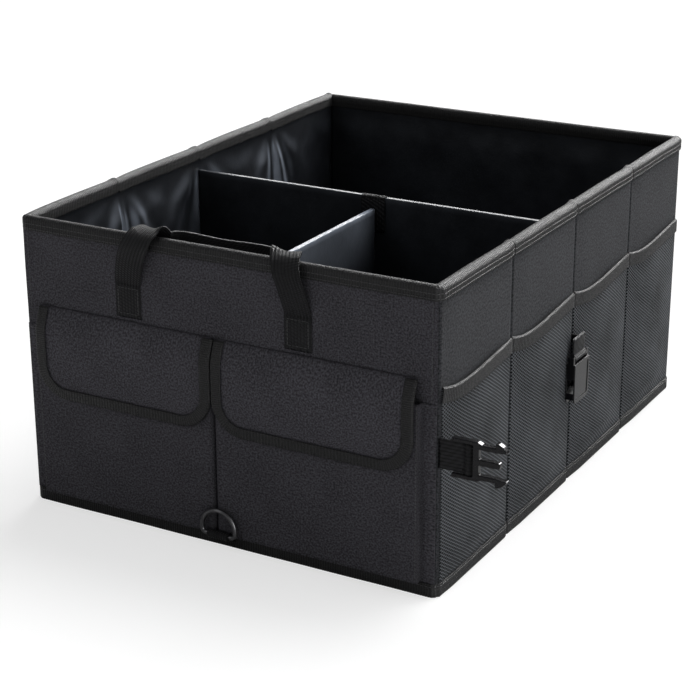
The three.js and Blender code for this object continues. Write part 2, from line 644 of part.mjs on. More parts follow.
function frontLeg(side, lean) {
  const inward = -side;
  const x = HANDLE_CENTRE_X + side * HANDLE_SPAN / 2;
  const out = -HALF_DEPTH - SEWN_OFFSET;
  const sewnTop = HANDLE_END_Z + HANDLE_SEWN_LENGTH;
  const flat = { wide: WEBBING_WIDTH, thick: WEBBING_THICKNESS };
  const half = { wide: (WEBBING_WIDTH + GRIP_HEIGHT) / 2, thick: WEBBING_THICKNESS * 1.5 };
  const grip = { wide: GRIP_HEIGHT, thick: GRIP_THICKNESS };
  const turned = [0.7, 0, inward * 0.7];
  const gripX = HANDLE_CENTRE_X + side * GRIP_LENGTH / 2;
  const gripY = -HALF_DEPTH + WALL_THICKNESS + TAPE_REACH + GRIP_SETBACK;
  const gripZ = HEIGHT - GRIP_DROP;
  const crestZ = HEIGHT + HANDLE_RISE;
  const crestY = out - HANDLE_CREST_DROP;
  const shift = (run) => x + inward * run;
  return [
    { at: [x, out, HANDLE_END_Z], across: ACROSS_X, ...flat },
    { at: [x, out, sewnTop - STITCH_TURN], across: ACROSS_X, ...flat },
    { at: [x, out, sewnTop], across: ACROSS_X, ...flat },
    { at: [shift(lean / 3), out - HANDLE_BULGE * 0.7, (sewnTop + HEIGHT) / 2], across: ACROSS_X, ...flat },
    { at: [shift(lean * 0.7), out - HANDLE_BULGE, HEIGHT - HANDLE_BROW_DROP], across: ACROSS_X, ...flat },
    { at: [shift(lean), crestY, crestZ - HANDLE_CREST_DROP], across: ACROSS_X, ...flat },
    { at: [shift(lean + HANDLE_CREST_TURN), crestY + HANDLE_CREST_WIDTH, crestZ], across: ACROSS_X, ...flat },
    { at: [shift(lean + HANDLE_FOLD_RUN), gripY - HANDLE_FOLD_LEAD, crestZ - HANDLE_FOLD_DROP],
      across: turned, ...half },
    { at: [gripX, gripY, gripZ], across: [0, 0, inward], ...grip },
  ];
}

// The second leg is walked from the grip to its sewn end, so its widths run the other way
function turnedBack(leg) {
  return [...leg].reverse().map((station) => ({ ...station, across: station.across.map((v) => -v) }));
}

const leftLeg = frontLeg(-1, HANDLE_LEFT_LEAN);
const gripEnd = leftLeg[leftLeg.length - 1];
const gripMiddle = {
  ...gripEnd,
  at: [HANDLE_CENTRE_X, gripEnd.at[1] + GRIP_SAG, gripEnd.at[2] - GRIP_SAG],
};
piece('handle_front', ribbon(
  [...leftLeg, gripMiddle, ...turnedBack(frontLeg(1, HANDLE_RIGHT_LEAN))], 108), webbing);

function rearLeg(side) {
  const y = HALF_DEPTH + SEWN_OFFSET;
  const hang = y + HANDLE_BULGE;
  const sewnTop = HANDLE_END_Z + HANDLE_SEWN_LENGTH;
  const foot = sewnTop - REAR_HANDLE_DROP;
  const x = side * HANDLE_SPAN / 2;
  const corner = REAR_HANDLE_CORNER;
  const flat = { wide: WEBBING_WIDTH, thick: WEBBING_THICKNESS };
  const slant = [0.7, 0, -side * 0.7];
  return [
    { at: [x, y, HANDLE_END_Z], across: ACROSS_X, ...flat },
    { at: [x, y, sewnTop - STITCH_TURN], across: ACROSS_X, ...flat },
    { at: [x, y, sewnTop], across: ACROSS_X, ...flat },
    { at: [x, y + HANDLE_BULGE / 2, sewnTop + HANDLE_BULGE / 2], across: ACROSS_X, ...flat },
    { at: [x, hang, sewnTop - STITCH_TURN], across: ACROSS_X, ...flat },
    { at: [x, hang, foot + corner], across: ACROSS_X, ...flat },
    { at: [x - side * corner * 0.3, hang, foot + corner * 0.3], across: slant, ...flat },
    { at: [x - side * corner, hang, foot], across: [0, 0, -side], ...flat },
  ];
}

piece('handle_rear', ribbon([...rearLeg(-1), ...turnedBack(rearLeg(1))], 96), webbing);

// Buckle plug on its strap, standing out of the front right corner seam
const plugCentreY = -HALF_DEPTH + COVER_THICKNESS + GAP + WEBBING_THICKNESS / 2;
const PLUG_BAR_X = HALF_WIDTH + PLUG_BAR_REACH;
const STRAP_EYE = BUCKLE_BAR_RADIUS + GAP;
const STRAP_LOOP = STRAP_EYE + WEBBING_THICKNESS;

function zCylinder(radius, centre, zs) {
  const shape = new THREE.Shape();
  shape.absarc(centre[0], centre[1], radius, 0, Math.PI * 2, false);
  return extrudeZ(shape, zs, { curveSegments: 16 });
}

function plugGeometry() {
  const half = BUCKLE_WIDTH / 2;
  const rail = half - RAIL_WIDTH;
  const slot = STRAP_LOOP + BUCKLE_SLOT_CLEARANCE;
  const cross = slot + PLUG_CROSSBAR;
  const tip = cross + PLUG_ARM_LENGTH;
  const tongue = cross + PLUG_TONGUE_LENGTH;
  const arm = half - PLUG_TIP_STEP - PLUG_ARM_WIDTH;
  const upper = [
    [slot, rail], [-PLUG_RAIL_BACK, rail], [-PLUG_RAIL_BACK, half], [cross, half],
    [cross + PLUG_CHAMFER, half - PLUG_TIP_STEP], [tip - PLUG_TIP_LENGTH, half - PLUG_TIP_STEP],
    [tip - PLUG_TIP_LENGTH, half + PLUG_TIP_STEP], [tip - PLUG_TIP_LENGTH * 0.4, half],
    [tip - PLUG_CHAMFER, half - PLUG_TIP_TAPER], [tip, arm + PLUG_CHAMFER],
    [tip - PLUG_TIP_LENGTH, arm], [cross, arm],
    [cross, PLUG_TONGUE_WIDTH / 2], [tongue - PLUG_CHAMFER, PLUG_TONGUE_WIDTH / 2],
    [tongue, PLUG_TONGUE_WIDTH / 2 - PLUG_CHAMFER],
  ];
  const lower = upper.map(([u, v]) => [u, -v]).reverse();
  const bevel = {
    bevelEnabled: true, bevelThickness: BUCKLE_EDGE, bevelSize: BUCKLE_EDGE,
    bevelOffset: -BUCKLE_EDGE, bevelSegments: 1,
  };
  const depth = BUCKLE_THICKNESS - 2 * BUCKLE_EDGE;
  const frame = extrudeY(outline([...upper, ...lower]), [-depth / 2, depth / 2], bevel);
  const bar = zCylinder(BUCKLE_BAR_RADIUS, [0, 0], [-rail - 1, rail + 1]);
  return joined([frame, bar]);
}

piece('buckle_plug', plugGeometry(), glossBlack).position.set(PLUG_BAR_X, plugCentreY, PLUG_Z);

const plugStrapX = HALF_WIDTH + GAP;
const plugStrapZ = [PLUG_Z - WEBBING_WIDTH / 2, PLUG_Z + WEBBING_WIDTH / 2];
piece('plug_strap', cut(
  joined([
    block([plugStrapX, PLUG_BAR_X],
      [plugCentreY - WEBBING_THICKNESS, plugCentreY + WEBBING_THICKNESS], plugStrapZ),
    zCylinder(STRAP_LOOP, [PLUG_BAR_X, plugCentreY], plugStrapZ),
  ]),
  [zCylinder(STRAP_EYE, [PLUG_BAR_X, plugCentreY], [plugStrapZ[0] - 1, plugStrapZ[1] + 1])]), webbing);

// Buckle socket on its strap, hanging over the seam between the second and third panels
const SOCKET_SEAM_Y = -HALF_DEPTH + 2 * PANEL_LENGTH;
const SOCKET_BAR_X = HALF_WIDTH + GAP + MESH_BULGE / 2 + GAP + SOCKET_THICKNESS / 2;

function yCylinder(radius, centre, ys) {
  const shape = new THREE.Shape();
  shape.absarc(centre[0], centre[1], radius, 0, Math.PI * 2, false);
  return extrudeY(shape, ys, { curveSegments: 16 });
}

function socketGeometry() {
  const half = BUCKLE_WIDTH / 2;
  const rail = half - RAIL_WIDTH;
  const top = -STRAP_LOOP - BUCKLE_SLOT_CLEARANCE;
  const foot = top - SOCKET_LENGTH;
  const radius = SOCKET_CORNER_RADIUS;
  const depth = SOCKET_THICKNESS - 2 * BUCKLE_EDGE;
  const bevel = {
    bevelEnabled: true, bevelThickness: BUCKLE_EDGE, bevelSize: BUCKLE_EDGE,
    bevelOffset: -BUCKLE_EDGE, bevelSegments: 1,
  };
  const shell = new THREE.Shape();
  shell.moveTo(-half, top);
  shell.lineTo(-half, foot + radius);
  shell.absarc(-half + radius, foot + radius, radius, Math.PI, Math.PI * 1.5, false);
  shell.absarc(half - radius, foot + radius, radius, Math.PI * 1.5, Math.PI * 2, false);
  shell.lineTo(half, top);
  const body = extrudeX(shell, [-depth / 2, depth / 2], bevel);
  const rails = [-1, 1].map((side) => block(
    [-BUCKLE_THICKNESS / 2, BUCKLE_THICKNESS / 2],
    [side > 0 ? rail : -half + BUCKLE_EDGE, side > 0 ? half - BUCKLE_EDGE : -rail],
    [top - 1, BUCKLE_THICKNESS / 2]));
  const bar = yCylinder(BUCKLE_BAR_RADIUS, [0, 0], [-rail - 1, rail + 1]);
  const gape = BUCKLE_THICKNESS / 2 + GAP;
  const mouth = block(
    [-gape, gape], [-SOCKET_CAVITY_WIDTH / 2, SOCKET_CAVITY_WIDTH / 2],
    [foot - 1, foot + SOCKET_CAVITY_DEPTH]);
  const windowZ = [foot + SOCKET_WINDOW_START, foot + SOCKET_WINDOW_START + SOCKET_WINDOW_LENGTH];
  const windows = block([-gape, gape], [-half - 1, half + 1], windowZ);
  return cut(joined([body, ...rails, bar]), [mouth, windows]);
}

piece('buckle_socket', socketGeometry(), glossBlack)
  .position.set(SOCKET_BAR_X, SOCKET_SEAM_Y, SOCKET_BAR_Z);

const socketStrapTop = SOCKET_BAR_Z + SOCKET_STRAP_RISE;
const socketStrapYs = [SOCKET_SEAM_Y - WEBBING_WIDTH / 2, SOCKET_SEAM_Y + WEBBING_WIDTH / 2];
const rootYs = [SOCKET_SEAM_Y - MESH_SEAM_HALF + GAP, SOCKET_SEAM_Y + MESH_SEAM_HALF - GAP];
piece('socket_strap', cut(
  joined([
    block([SOCKET_BAR_X - WEBBING_THICKNESS, SOCKET_BAR_X + WEBBING_THICKNESS], socketStrapYs,
      [SOCKET_BAR_Z, socketStrapTop]),
    yCylinder(STRAP_LOOP, [SOCKET_BAR_X, SOCKET_BAR_Z], socketStrapYs),
    block([HALF_WIDTH + GAP, SOCKET_BAR_X], rootYs, [socketStrapTop - SOCKET_ROOT_HEIGHT, socketStrapTop]),
  ]),
  [yCylinder(STRAP_EYE, [SOCKET_BAR_X, SOCKET_BAR_Z], [socketStrapYs[0] - 1, socketStrapYs[1] + 1])]),
webbing);

export default box;
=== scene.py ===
# Car storage box: a collapsible boot organiser of woven cloth over boards, with flapped pouches,
# mesh pockets, webbing handles and a side-release buckle. Metres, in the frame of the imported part:
# X across the front, Y towards the back, Z up, with the box standing on Z = 0.

import math

import bmesh
import bpy
from mathutils import Matrix, Vector, noise


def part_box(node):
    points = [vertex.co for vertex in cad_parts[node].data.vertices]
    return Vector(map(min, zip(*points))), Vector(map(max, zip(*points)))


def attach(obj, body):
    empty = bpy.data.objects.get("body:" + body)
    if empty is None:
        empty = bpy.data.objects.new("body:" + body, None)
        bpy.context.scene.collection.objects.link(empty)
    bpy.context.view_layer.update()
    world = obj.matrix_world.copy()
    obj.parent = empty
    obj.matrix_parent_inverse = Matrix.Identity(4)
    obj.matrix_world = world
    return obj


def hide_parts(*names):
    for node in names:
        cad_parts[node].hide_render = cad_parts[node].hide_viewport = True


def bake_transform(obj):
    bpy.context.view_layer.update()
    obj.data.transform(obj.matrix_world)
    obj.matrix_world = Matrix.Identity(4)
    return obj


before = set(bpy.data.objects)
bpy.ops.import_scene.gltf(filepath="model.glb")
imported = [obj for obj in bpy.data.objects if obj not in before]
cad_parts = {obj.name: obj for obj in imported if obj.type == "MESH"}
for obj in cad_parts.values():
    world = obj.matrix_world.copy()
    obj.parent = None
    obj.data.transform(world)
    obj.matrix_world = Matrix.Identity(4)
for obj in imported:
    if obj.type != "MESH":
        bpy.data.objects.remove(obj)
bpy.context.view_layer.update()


# Stiffening boards: grey pressed card, cut to each panel and slid between the cloths before they
# are sewn shut. None shows while the box stands open, and each keeps its own card surface.
class Signal:
    """A value that changes over a surface. Operators on it add Math nodes to its finish."""

    def __init__(self, finish, node, output=0):
        self.finish = finish
        self.node = node
        self.output = output

    def out(self, name):
        return Signal(self.finish, self.node, name)

    def maths(self, operation, *values):
        return self.finish.node("ShaderNodeMath", {"operation": operation}, dict(enumerate(values)))

    def __add__(self, other):
        return self.maths("ADD", self, other)

    def __sub__(self, other):
        return self.maths("SUBTRACT", self, other)

    def __rsub__(self, other):
        return self.maths("SUBTRACT", other, self)

    def __mul__(self, other):
        return self.maths("MULTIPLY", self, other)

    __radd__ = __add__
    __rmul__ = __mul__

    def sine(self):
        return self.maths("SINE", self)

    def wave(self, pitch):
        """A sine of that length, from 0 to 1."""
        return (self * (2 * math.pi / pitch)).sine() * 0.5 + 0.5

    def size(self):
        return self.maths("ABSOLUTE", self)

    def clamped(self):
        return self.finish.node("ShaderNodeClamp", {}, {0: self})


class Finish:
    """A material or world in the making: node() adds any node, and surface() ends a material."""

    def __init__(self, name, home=None):
        self.material = home or bpy.data.materials.new(name)
        self.material.use_nodes = True
        self.tree = self.material.node_tree
        self.tree.nodes.clear()

    def node(self, kind, settings=None, sockets=None):
        made = self.tree.nodes.new(kind)
        for key, value in (settings or {}).items():
            setattr(made, key, value)
        for key, value in (sockets or {}).items():
            if isinstance(value, Signal):
                self.tree.links.new(value.node.outputs[value.output], made.inputs[key])
            else:
                made.inputs[key].default_value = value
        return Signal(self, made)

    def place(self, source):
        return self.node("ShaderNodeTexCoord").out(source)

    def flat(self):
        """How far across and up its own cloth a spot lies, in metres."""
        split = self.node("ShaderNodeSeparateXYZ", {}, {0: self.place("UV")})
        return split.out("X"), split.out("Y")

    def cloud(self, spot, scale, detail=2.0, roughness=0.5):
        return self.node("ShaderNodeTexNoise", {}, {
            "Vector": spot, "Scale": scale, "Detail": detail, "Roughness": roughness})

    def between(self, share, low, high):
        mixed = self.node("ShaderNodeMix", {"data_type": "RGBA"}, {0: share, 6: low, 7: high})
        return mixed.out(2)

    def bump(self, height, strength, distance):
        return self.node("ShaderNodeBump", {}, {
            "Height": height, "Strength": strength, "Distance": distance})

    def surface(self, sockets):
        shader = self.node("ShaderNodeBsdfPrincipled", {}, sockets)
        self.node("ShaderNodeOutputMaterial", {}, {"Surface": shader})
        return self.material


def tone(colour, share=1.0):
    """A colour with its strength scaled, ready for a colour socket."""
    return (colour[0] * share, colour[1] * share, colour[2] * share, 1.0)


CARD_COLOUR = (0.25, 0.22, 0.19)
FIBRE_SCALE = 700.0
card = Finish("pressed_card")
card_fibre = card.cloud(card.place("Object"), FIBRE_SCALE, 4.0)
card_finish = card.surface({
    "Base Color": card.between(card_fibre, tone(CARD_COLOUR, 0.7), tone(CARD_COLOUR, 1.25)),
    "Roughness": 0.92,
    "Normal": card.bump(card_fibre, 0.3, 0.0002),
})
for board in [node for name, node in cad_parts.items() if "_board" in name]:
    board.material_slots[0].material = card_finish


# Outer walls and underside: matt black Oxford cloth, one piece to a wall, sewn at the corners and
# stitched through between the boards of the two long sides, where the cloth dips into each fold.
# One cloth in two colours. The lighter copy on the front and rear walls, pouches, flaps and underside
# is painted light for the dimly lit front. The darker copy on the long sides is painted shade for
# their stronger light.
FRONT_CLOTH_LIGHTENED_COLOUR = (0.041, 0.0395, 0.047)
SIDE_CLOTH_DARKENED_COLOUR = (0.022, 0.023, 0.027)
FRONT_GRAIN = (640.0, 3.4)
SIDE_GRAIN = (520.0, 5.0)
PATCH_SCALE = 24.0
WEAVE_PITCH = 0.0011
SAME_SPOT = 1e-6
COVER_CLOTH = 0.0008
WALL_STEP = 0.00125
WALL_ROWS = 30
SIDE_BOW = 0.0010
FOLD_GROOVE = 0.0015
GROOVE_WIDTH = 0.0026
FRONT_SWELL = 0.0005
SIDE_SWELL = 0.0002
SWELL_SCALE = 16
SEAM_DROP_BEHIND = 0.006
SEAM_RISE_AHEAD = 0.030

half_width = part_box("right_cover")[1].x
half_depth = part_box("rear_cover")[1].y
wall_foot, wall_top = (corner.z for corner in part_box("front_cover"))
panel_length = 2 * half_depth / 4

UP = Vector((0, 0, 1))
WALLS = {
    "front": (Vector((1, 0, 0)), Vector((0, -1, 0)), half_width, half_depth),
    "right": (Vector((0, 1, 0)), Vector((1, 0, 0)), half_depth, half_width),
    "rear": (Vector((-1, 0, 0)), Vector((0, 1, 0)), half_width, half_depth),
    "left": (Vector((0, -1, 0)), Vector((-1, 0, 0)), half_depth, half_width),
}


def on_wall(wall, run, up, out):
    """A point on a wall: run to the right as seen from outside, up, and out from its face."""
    along, outward, _, face = WALLS[wall]
    return along * run + outward * (face + out) + UP * up


def spaced(start, stop, count):
    """Evenly spaced values from start to stop, both included."""
    return [start + (stop - start) * i / count for i in range(count + 1)]


def path_length(points):
    return sum(math.dist(a, b) for a, b in zip(points, points[1:]))


def smooth(share):
    share = min(max(share, 0.0), 1.0)
    return share * share * (3 - 2 * share)


def side_bow(y):
    """How far a long side stands out: it rises slowly after one fold and drops before the next."""
    ahead = (y + half_depth) % panel_length
    behind = panel_length - ahead
    bow = SIDE_BOW * smooth(ahead / SEAM_RISE_AHEAD) * smooth(behind / SEAM_DROP_BEHIND)
    return bow + FOLD_GROOVE * smooth(min(ahead, behind) / GROOVE_WIDTH)


def side_run(wall, run):
    """The Y of a run along a long side."""
    return run if wall == "right" else -run


def wall_swell(wall, run, up):
    """How far a wall's cloth stands out from its lowest face."""
    ripple = 1 + noise.noise(Vector((run * SWELL_SCALE, up * SWELL_SCALE, len(wall))))
    if wall in ("front", "rear"):
        return FRONT_SWELL * ripple
    return side_bow(side_run(wall, run)) + SIDE_SWELL * ripple


def oxford(name, colour, grain, contrast):
    """Matt woven cloth: a fine basket of threads, uneven thread by thread, on a cloudy ground."""
    cloth = Finish(name)
    across, up = cloth.flat()
    turn = 2 * math.pi / WEAVE_PITCH
    basket = (across * turn).sine() * (up * turn).sine()
    threads = cloth.cloud(cloth.place("UV"), grain)
    patches = cloth.cloud(cloth.place("UV"), PATCH_SCALE, 3.0)
    share = (basket * 0.2 + (threads - 0.5) * contrast + (patches - 0.5) * 0.55 + 0.5).clamped()
    return cloth.surface({
        "Base Color": cloth.between(share, tone(colour, 0.4), tone(colour, 1.6)),
        "Roughness": 0.8,
        "Specular IOR Level": 0.2,
        "Normal": cloth.bump(basket * 0.5 + threads, 0.6, 0.0006),
    })


# front_cloth is the lightened copy (painted light), and side_cloth is the darkened copy (painted
# shade).
front_cloth = oxford("front_oxford", FRONT_CLOTH_LIGHTENED_COLOUR, *FRONT_GRAIN)
side_cloth = oxford("side_oxford", SIDE_CLOTH_DARKENED_COLOUR, *SIDE_GRAIN)


def new_piece(name, bm, finish, stands_for=(), body="box", thickness=0.0):
    """An object from that mesh, on one body. Given (body, body, start, end) instead, it is left on no
    body.
    """
    mesh = bpy.data.meshes.new(name)
    bm.to_mesh(mesh)
    bm.free()
    mesh.materials.append(finish)
    piece = bpy.data.objects.new(name, mesh)
    bpy.context.scene.collection.objects.link(piece)
    if thickness:
        solid = piece.modifiers.new("thickness", "SOLIDIFY")
        solid.thickness = thickness
        solid.offset = -1
    if isinstance(body, tuple):
        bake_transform(piece)
    else:
        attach(piece, body)
    if stands_for:
        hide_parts(*stands_for)
    return piece


def grid_piece(name, steps, size, place, finish, stands_for, body="box", thickness=0.0,
               paint_sheen=None):
    """Flat cloth of that size, laid by place(across, up) and then given its thickness."""
    bm = bmesh.new()
    pattern = bm.loops.layers.uv.new("cloth")
    # When given, this sets how much painted sheen each point gets. It is kept in an attribute that
    # lightens the coat's colour.
    painted_sheen = bm.verts.layers.float.new("painted_sheen") if paint_sheen else None
    bmesh.ops.create_grid(bm, x_segments=steps[0], y_segments=steps[1], size=0.5)
    for face in bm.faces:
        face.smooth = True
        for loop in face.loops:
            spot = loop.vert.co
            loop[pattern].uv = ((spot.x + 0.5) * size[0], (spot.y + 0.5) * size[1])
    for vertex in bm.verts:
        across, up = vertex.co.x + 0.5, vertex.co.y + 0.5
        vertex.co = place(across, up)
        if paint_sheen:
            vertex[painted_sheen] = paint_sheen(across, up)
    bmesh.ops.remove_doubles(bm, verts=bm.verts, dist=SAME_SPOT)
    return new_piece(name, bm, finish, stands_for, body, thickness)


for wall, (_, _, half_run, _) in WALLS.items():
    broad = wall in ("front", "rear")
    span = (2 * half_run, wall_top - wall_foot)

    def laid_on_wall(across, up, wall=wall, span=span):
        run = (across - 0.5) * span[0]
        height = wall_foot + up * span[1]
        return on_wall(wall, run, height, wall_swell(wall, run, height))

    cover = grid_piece(
        f"{wall}_wall_cloth", (round(span[0] / WALL_STEP), WALL_ROWS), span, laid_on_wall,
        front_cloth if broad else side_cloth,
        [f"{wall}_cover"], thickness=COVER_CLOTH)

base_low, base_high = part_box("base_cover")
base_span = (base_high.x - base_low.x, base_high.y - base_low.y)


def laid_underneath(across, up):
    return Vector((base_high.x - across * base_span[0], base_low.y + up * base_span[1], base_low.z))


underside = grid_piece(
    "underside_cloth", (60, 80), base_span, laid_underneath, front_cloth,
    ["base_cover"], thickness=COVER_CLOTH)


# Linings: thin black cloth with a shiny waterproof coat, sewn in at the rim and the folds only, so
# it hangs in soft creases that fan out from the top of each fold.
LINING_COLOUR = (0.0020, 0.0022, 0.0030)
# The colour of the painted sheen on the lining's creases: a lighter blue-grey that stands in for the
# coat's shine.
SHEEN_PAINT_COLOUR = (0.20, 0.225, 0.27)
LINING_CLOTH = 0.0005
LINING_STEP = 0.002
LINING_ROWS = 110
CREASE_DEPTH = 0.0045
PLEAT_SPREAD = 0.75
PLEATS = 12
PINCH_HALF = 0.004
HELD_EDGE = 0.012
HELD_DROP = 0.03
CREST_STEP = 0.0015
FLOOR_DIP = 0.00015

coat = Finish("coated_lining_cloth")
coat_patches = coat.cloud(coat.place("UV"), 26.0, 4.0, 0.6)
coat_grain = coat.cloud(coat.place("UV"), FIBRE_SCALE)
# The coat's colour is lightened on the flanks and tips of its creases. This is painted sheen, varied
# by random patches that also shift its tone a little.
coat_sheen_paint = coat.node("ShaderNodeAttribute", {"attribute_name": "painted_sheen"}).out("Fac")
coat_share = (coat_sheen_paint * (coat_patches * 1.1 + 0.4) + coat_patches * 0.12).clamped()
lining_finish = coat.surface({
    "Base Color": coat.between(coat_share, tone(LINING_COLOUR), tone(SHEEN_PAINT_COLOUR)),
    "Roughness": coat_patches * 0.18 + 0.25,
    "Specular IOR Level": 0.3,
    "Normal": coat.bump(coat_patches * 5 + coat_grain, 0.25, 0.0006),
})

inner_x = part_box("left_lining")[1].x
inner_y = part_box("front_lining")[1].y
lining_foot, lining_top = (corner.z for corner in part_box("front_lining"))


def crease(run, up, folds):
    """How far the loose lining stands in from its wall: pleats that fan down from each fold."""
    below = max(lining_top - HELD_EDGE - up, 0.0)
    depth = 0.0
    for fold in folds:
        lean = math.atan2(run - fold, below + HELD_DROP)
        near = math.exp(-((lean / PLEAT_SPREAD) ** 2))
        pinch = smooth(abs(run - fold) / PINCH_HALF)
        wander = noise.noise(Vector((run * 20, up * 10, 5.5)))
        depth += near * pinch * (0.5 + 0.5 * math.cos(lean * PLEATS + fold * 31 + wander * 2.2))
    loose = 0.5 + 0.5 * noise.noise(Vector((run * 26, up * 9, 3.3)))
    small = 0.5 + 0.5 * noise.noise(Vector((run * 80, up * 34, 7.1)))
    hold = smooth(below / HELD_DROP) * smooth((up - lining_foot) / HELD_DROP)
    return CREASE_DEPTH * hold * (0.75 * depth + 0.55 * loose + 0.14 * small)


def crest(run, up, folds):
    """Painted sheen on the coat: the lit flank of each pleat and the tips of the small crumples."""
    step = CREST_STEP
    lean = (crease(run + step, up, folds) - crease(run - step, up, folds)) / (2 * step)
    drop = (crease(run, up - step, folds) - crease(run, up + step, folds)) / (2 * step)
    return smooth(abs(lean) * 2.6 - 0.18) * 0.9 + smooth(drop * 3.0 - 0.1) * 0.35


for wall, (_, _, _, face) in WALLS.items():
    long_side = wall in ("left", "right")
    folds = (-panel_length, 0.0, panel_length) if long_side else ()
    span = (-2 * (inner_y if long_side else inner_x), lining_top - lining_foot)
    set_in = -(inner_x if long_side else inner_y) - face

    def laid_inside(across, up, wall=wall, span=span, folds=folds, set_in=set_in):
        run = (0.5 - across) * span[0]
        height = lining_foot + up * span[1]
        edge = smooth((span[0] / 2 - abs(run)) / HELD_EDGE)
        held = smooth(abs(run) / HELD_EDGE) if wall != "rear" else 1.0
        return on_wall(wall, run, height, set_in - crease(run, height, folds) * edge * held)

    # Painted sheen on this lining's creases.
    def sheen_inside(across, up, span=span, folds=folds):
        return crest((0.5 - across) * span[0], lining_foot + up * span[1], folds)

    lining = grid_piece(
        f"{wall}_lining_cloth", (round(span[0] / LINING_STEP), LINING_ROWS), span, laid_inside,
        lining_finish, [f"{wall}_lining"], thickness=LINING_CLOTH,
        paint_sheen=sheen_inside)

floor_low, floor_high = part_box("base_lining")
floor_span = (floor_high.x - floor_low.x, floor_high.y - floor_low.y)


def laid_on_floor(across, up):
    x = floor_low.x + across * floor_span[0]
    y = floor_low.y + up * floor_span[1]
    dip = FLOOR_DIP * (noise.noise(Vector((x * 14, y * 14, 1.7))) - 1)
    return Vector((x, y, floor_high.z + dip))


floor_lining = grid_piece(
    "floor_lining_cloth", (90, 120), floor_span, laid_on_floor, lining_finish,
    ["base_lining"], thickness=LINING_CLOTH * 0.5)


# Dividers: card in a sleeve of the shiny lining cloth, standing on the floor. The cross divider
# spans the box, and the shorter length divider butts against it under a loop of webbing.
DIVIDER_RIPPLE = 0.0007
DIVIDER_ROUND = 0.0009
SLEEVE_STEP = 0.0025
RISE_STEPS = 50
FADE = 0.02
# How far below a divider's top its painted sheen fades out.
SHEEN_DROP = 0.07
CREASED_HALF = 0.018


def sleeve_profile(half, foot, top):
    """A sleeve's section, doubled over its board: pairs of (out, up) from foot to foot."""
    line = [(half, up) for up in spaced(foot, top - DIVIDER_ROUND, RISE_STEPS)]
    for i in range(1, 8):
        turn = math.pi / 2 * i / 8
        line.append((half - DIVIDER_ROUND * (1 - math.cos(turn)),
                     top - DIVIDER_ROUND * (1 - math.sin(turn))))
    line.append((half * 0.4, top))
    return line + [(-out, up) for out, up in reversed(line)]


def divider(name, node, along, out_way, still_half, flank_sheen, edge_highlight):
    """A sleeve over that board, still within still_half of its middle, with so much painted sheen
    high on its flanks and so much painted highlight along its top edge.
    """
    low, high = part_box(node)
    middle = (low + high) / 2
    half = abs((high - low).dot(out_way)) / 2
    run_length = abs((high - low).dot(along))
    profile = sleeve_profile(half, low.z, high.z)
    drop = path_length(profile)

    def laid_over_board(across, up):
        out, height = profile[round(up * (len(profile) - 1))]
        run = (across - 0.5) * run_length
        free = smooth((high.z - height) / FADE) * smooth((run_length / 2 - abs(run)) / FADE)
        ripple = DIVIDER_RIPPLE * (1 + noise.noise(Vector((run * 13, height * 13, out * 900))))
        ripple *= free * smooth((abs(run) - still_half) / FADE)
        spot = middle + along * run + out_way * (out + math.copysign(ripple, out))
        return Vector((spot.x, spot.y, height))

    # Painted sheen high on the flanks and a painted highlight along the top edge.
    def sleeve_sheen(across, up):
        below = high.z - profile[round(up * (len(profile) - 1))][1]
        flank = 0.3 * flank_sheen * (1 - smooth(below / SHEEN_DROP))
        return flank + edge_highlight * smooth((0.0016 - below) / 0.001)

    sleeve = grid_piece(
        name, (round(run_length / SLEEVE_STEP), len(profile) - 1), (run_length, drop),
        laid_over_board, lining_finish, [node], thickness=LINING_CLOTH,
        paint_sheen=sleeve_sheen)


RIGHT, AHEAD, FORWARD = Vector((1, 0, 0)), Vector((0, 1, 0)), Vector((0, -1, 0))
# The length divider's sleeve gets strong painted sheen and a bright painted highlight. The cross
# divider's gets only a faint painted highlight on its top.
divider("cross_divider_sleeve", "cross_divider_cover", RIGHT, FORWARD, CREASED_HALF, 0.0, 0.12)
divider("length_divider_sleeve", "length_divider_cover", AHEAD, RIGHT, -FADE, 1.0, 0.9)


# Edge tape: black ribbed tape folded over the raw edges and sewn through twice, round the rim and
# round the foot. Its ribs run across it and catch the light on every fold.
TAPE_COLOUR = (0.0042, 0.0042, 0.0048)
RIB_PITCH = 0.0023
RIB_HEIGHT = 0.00035
TAPE_THREAD = 0.0009
TAPE_CLOTH = 0.0007
INSIDE_FROM = 0.0222
RIM_LIFT = 0.0016
RIM_ARCH = 0.0042
CORNER_RADIUS = 0.0035

tape_maker = Finish("ribbed_tape")
tape_across, tape_up = tape_maker.flat()
tape_ribs, tape_threads = tape_across.wave(RIB_PITCH), tape_up.wave(TAPE_THREAD)
tape_grain = tape_maker.cloud(tape_maker.place("UV"), 760.0, 3.0, 0.6)
# Beyond INSIDE_FROM, the half of the rim tape that faces into the box is made darker and rougher:
# painted shade.
tape_inner_shade = ((tape_up - INSIDE_FROM) * 400).clamped()
tape_share = (tape_ribs * 0.7 + tape_threads * 0.2 + (tape_grain - 0.5) * 2.4 - 0.05).clamped()
tape_share *= 1 - tape_inner_shade * 0.8
tape_finish = tape_maker.surface({
    "Base Color": tape_maker.between(tape_share, tone(TAPE_COLOUR, 0.15), tone(TAPE_COLOUR, 2.4)),
    "Roughness": (0.62 - tape_ribs * 0.25 + (tape_grain - 0.5) * 1.6 + tape_inner_shade * 0.6).clamped(),
    "Specular IOR Level": 0.3,
    "Normal": tape_maker.bump(tape_ribs * 0.6 + tape_threads * 0.3 + tape_grain * 0.6, 0.7, 0.0006),
})


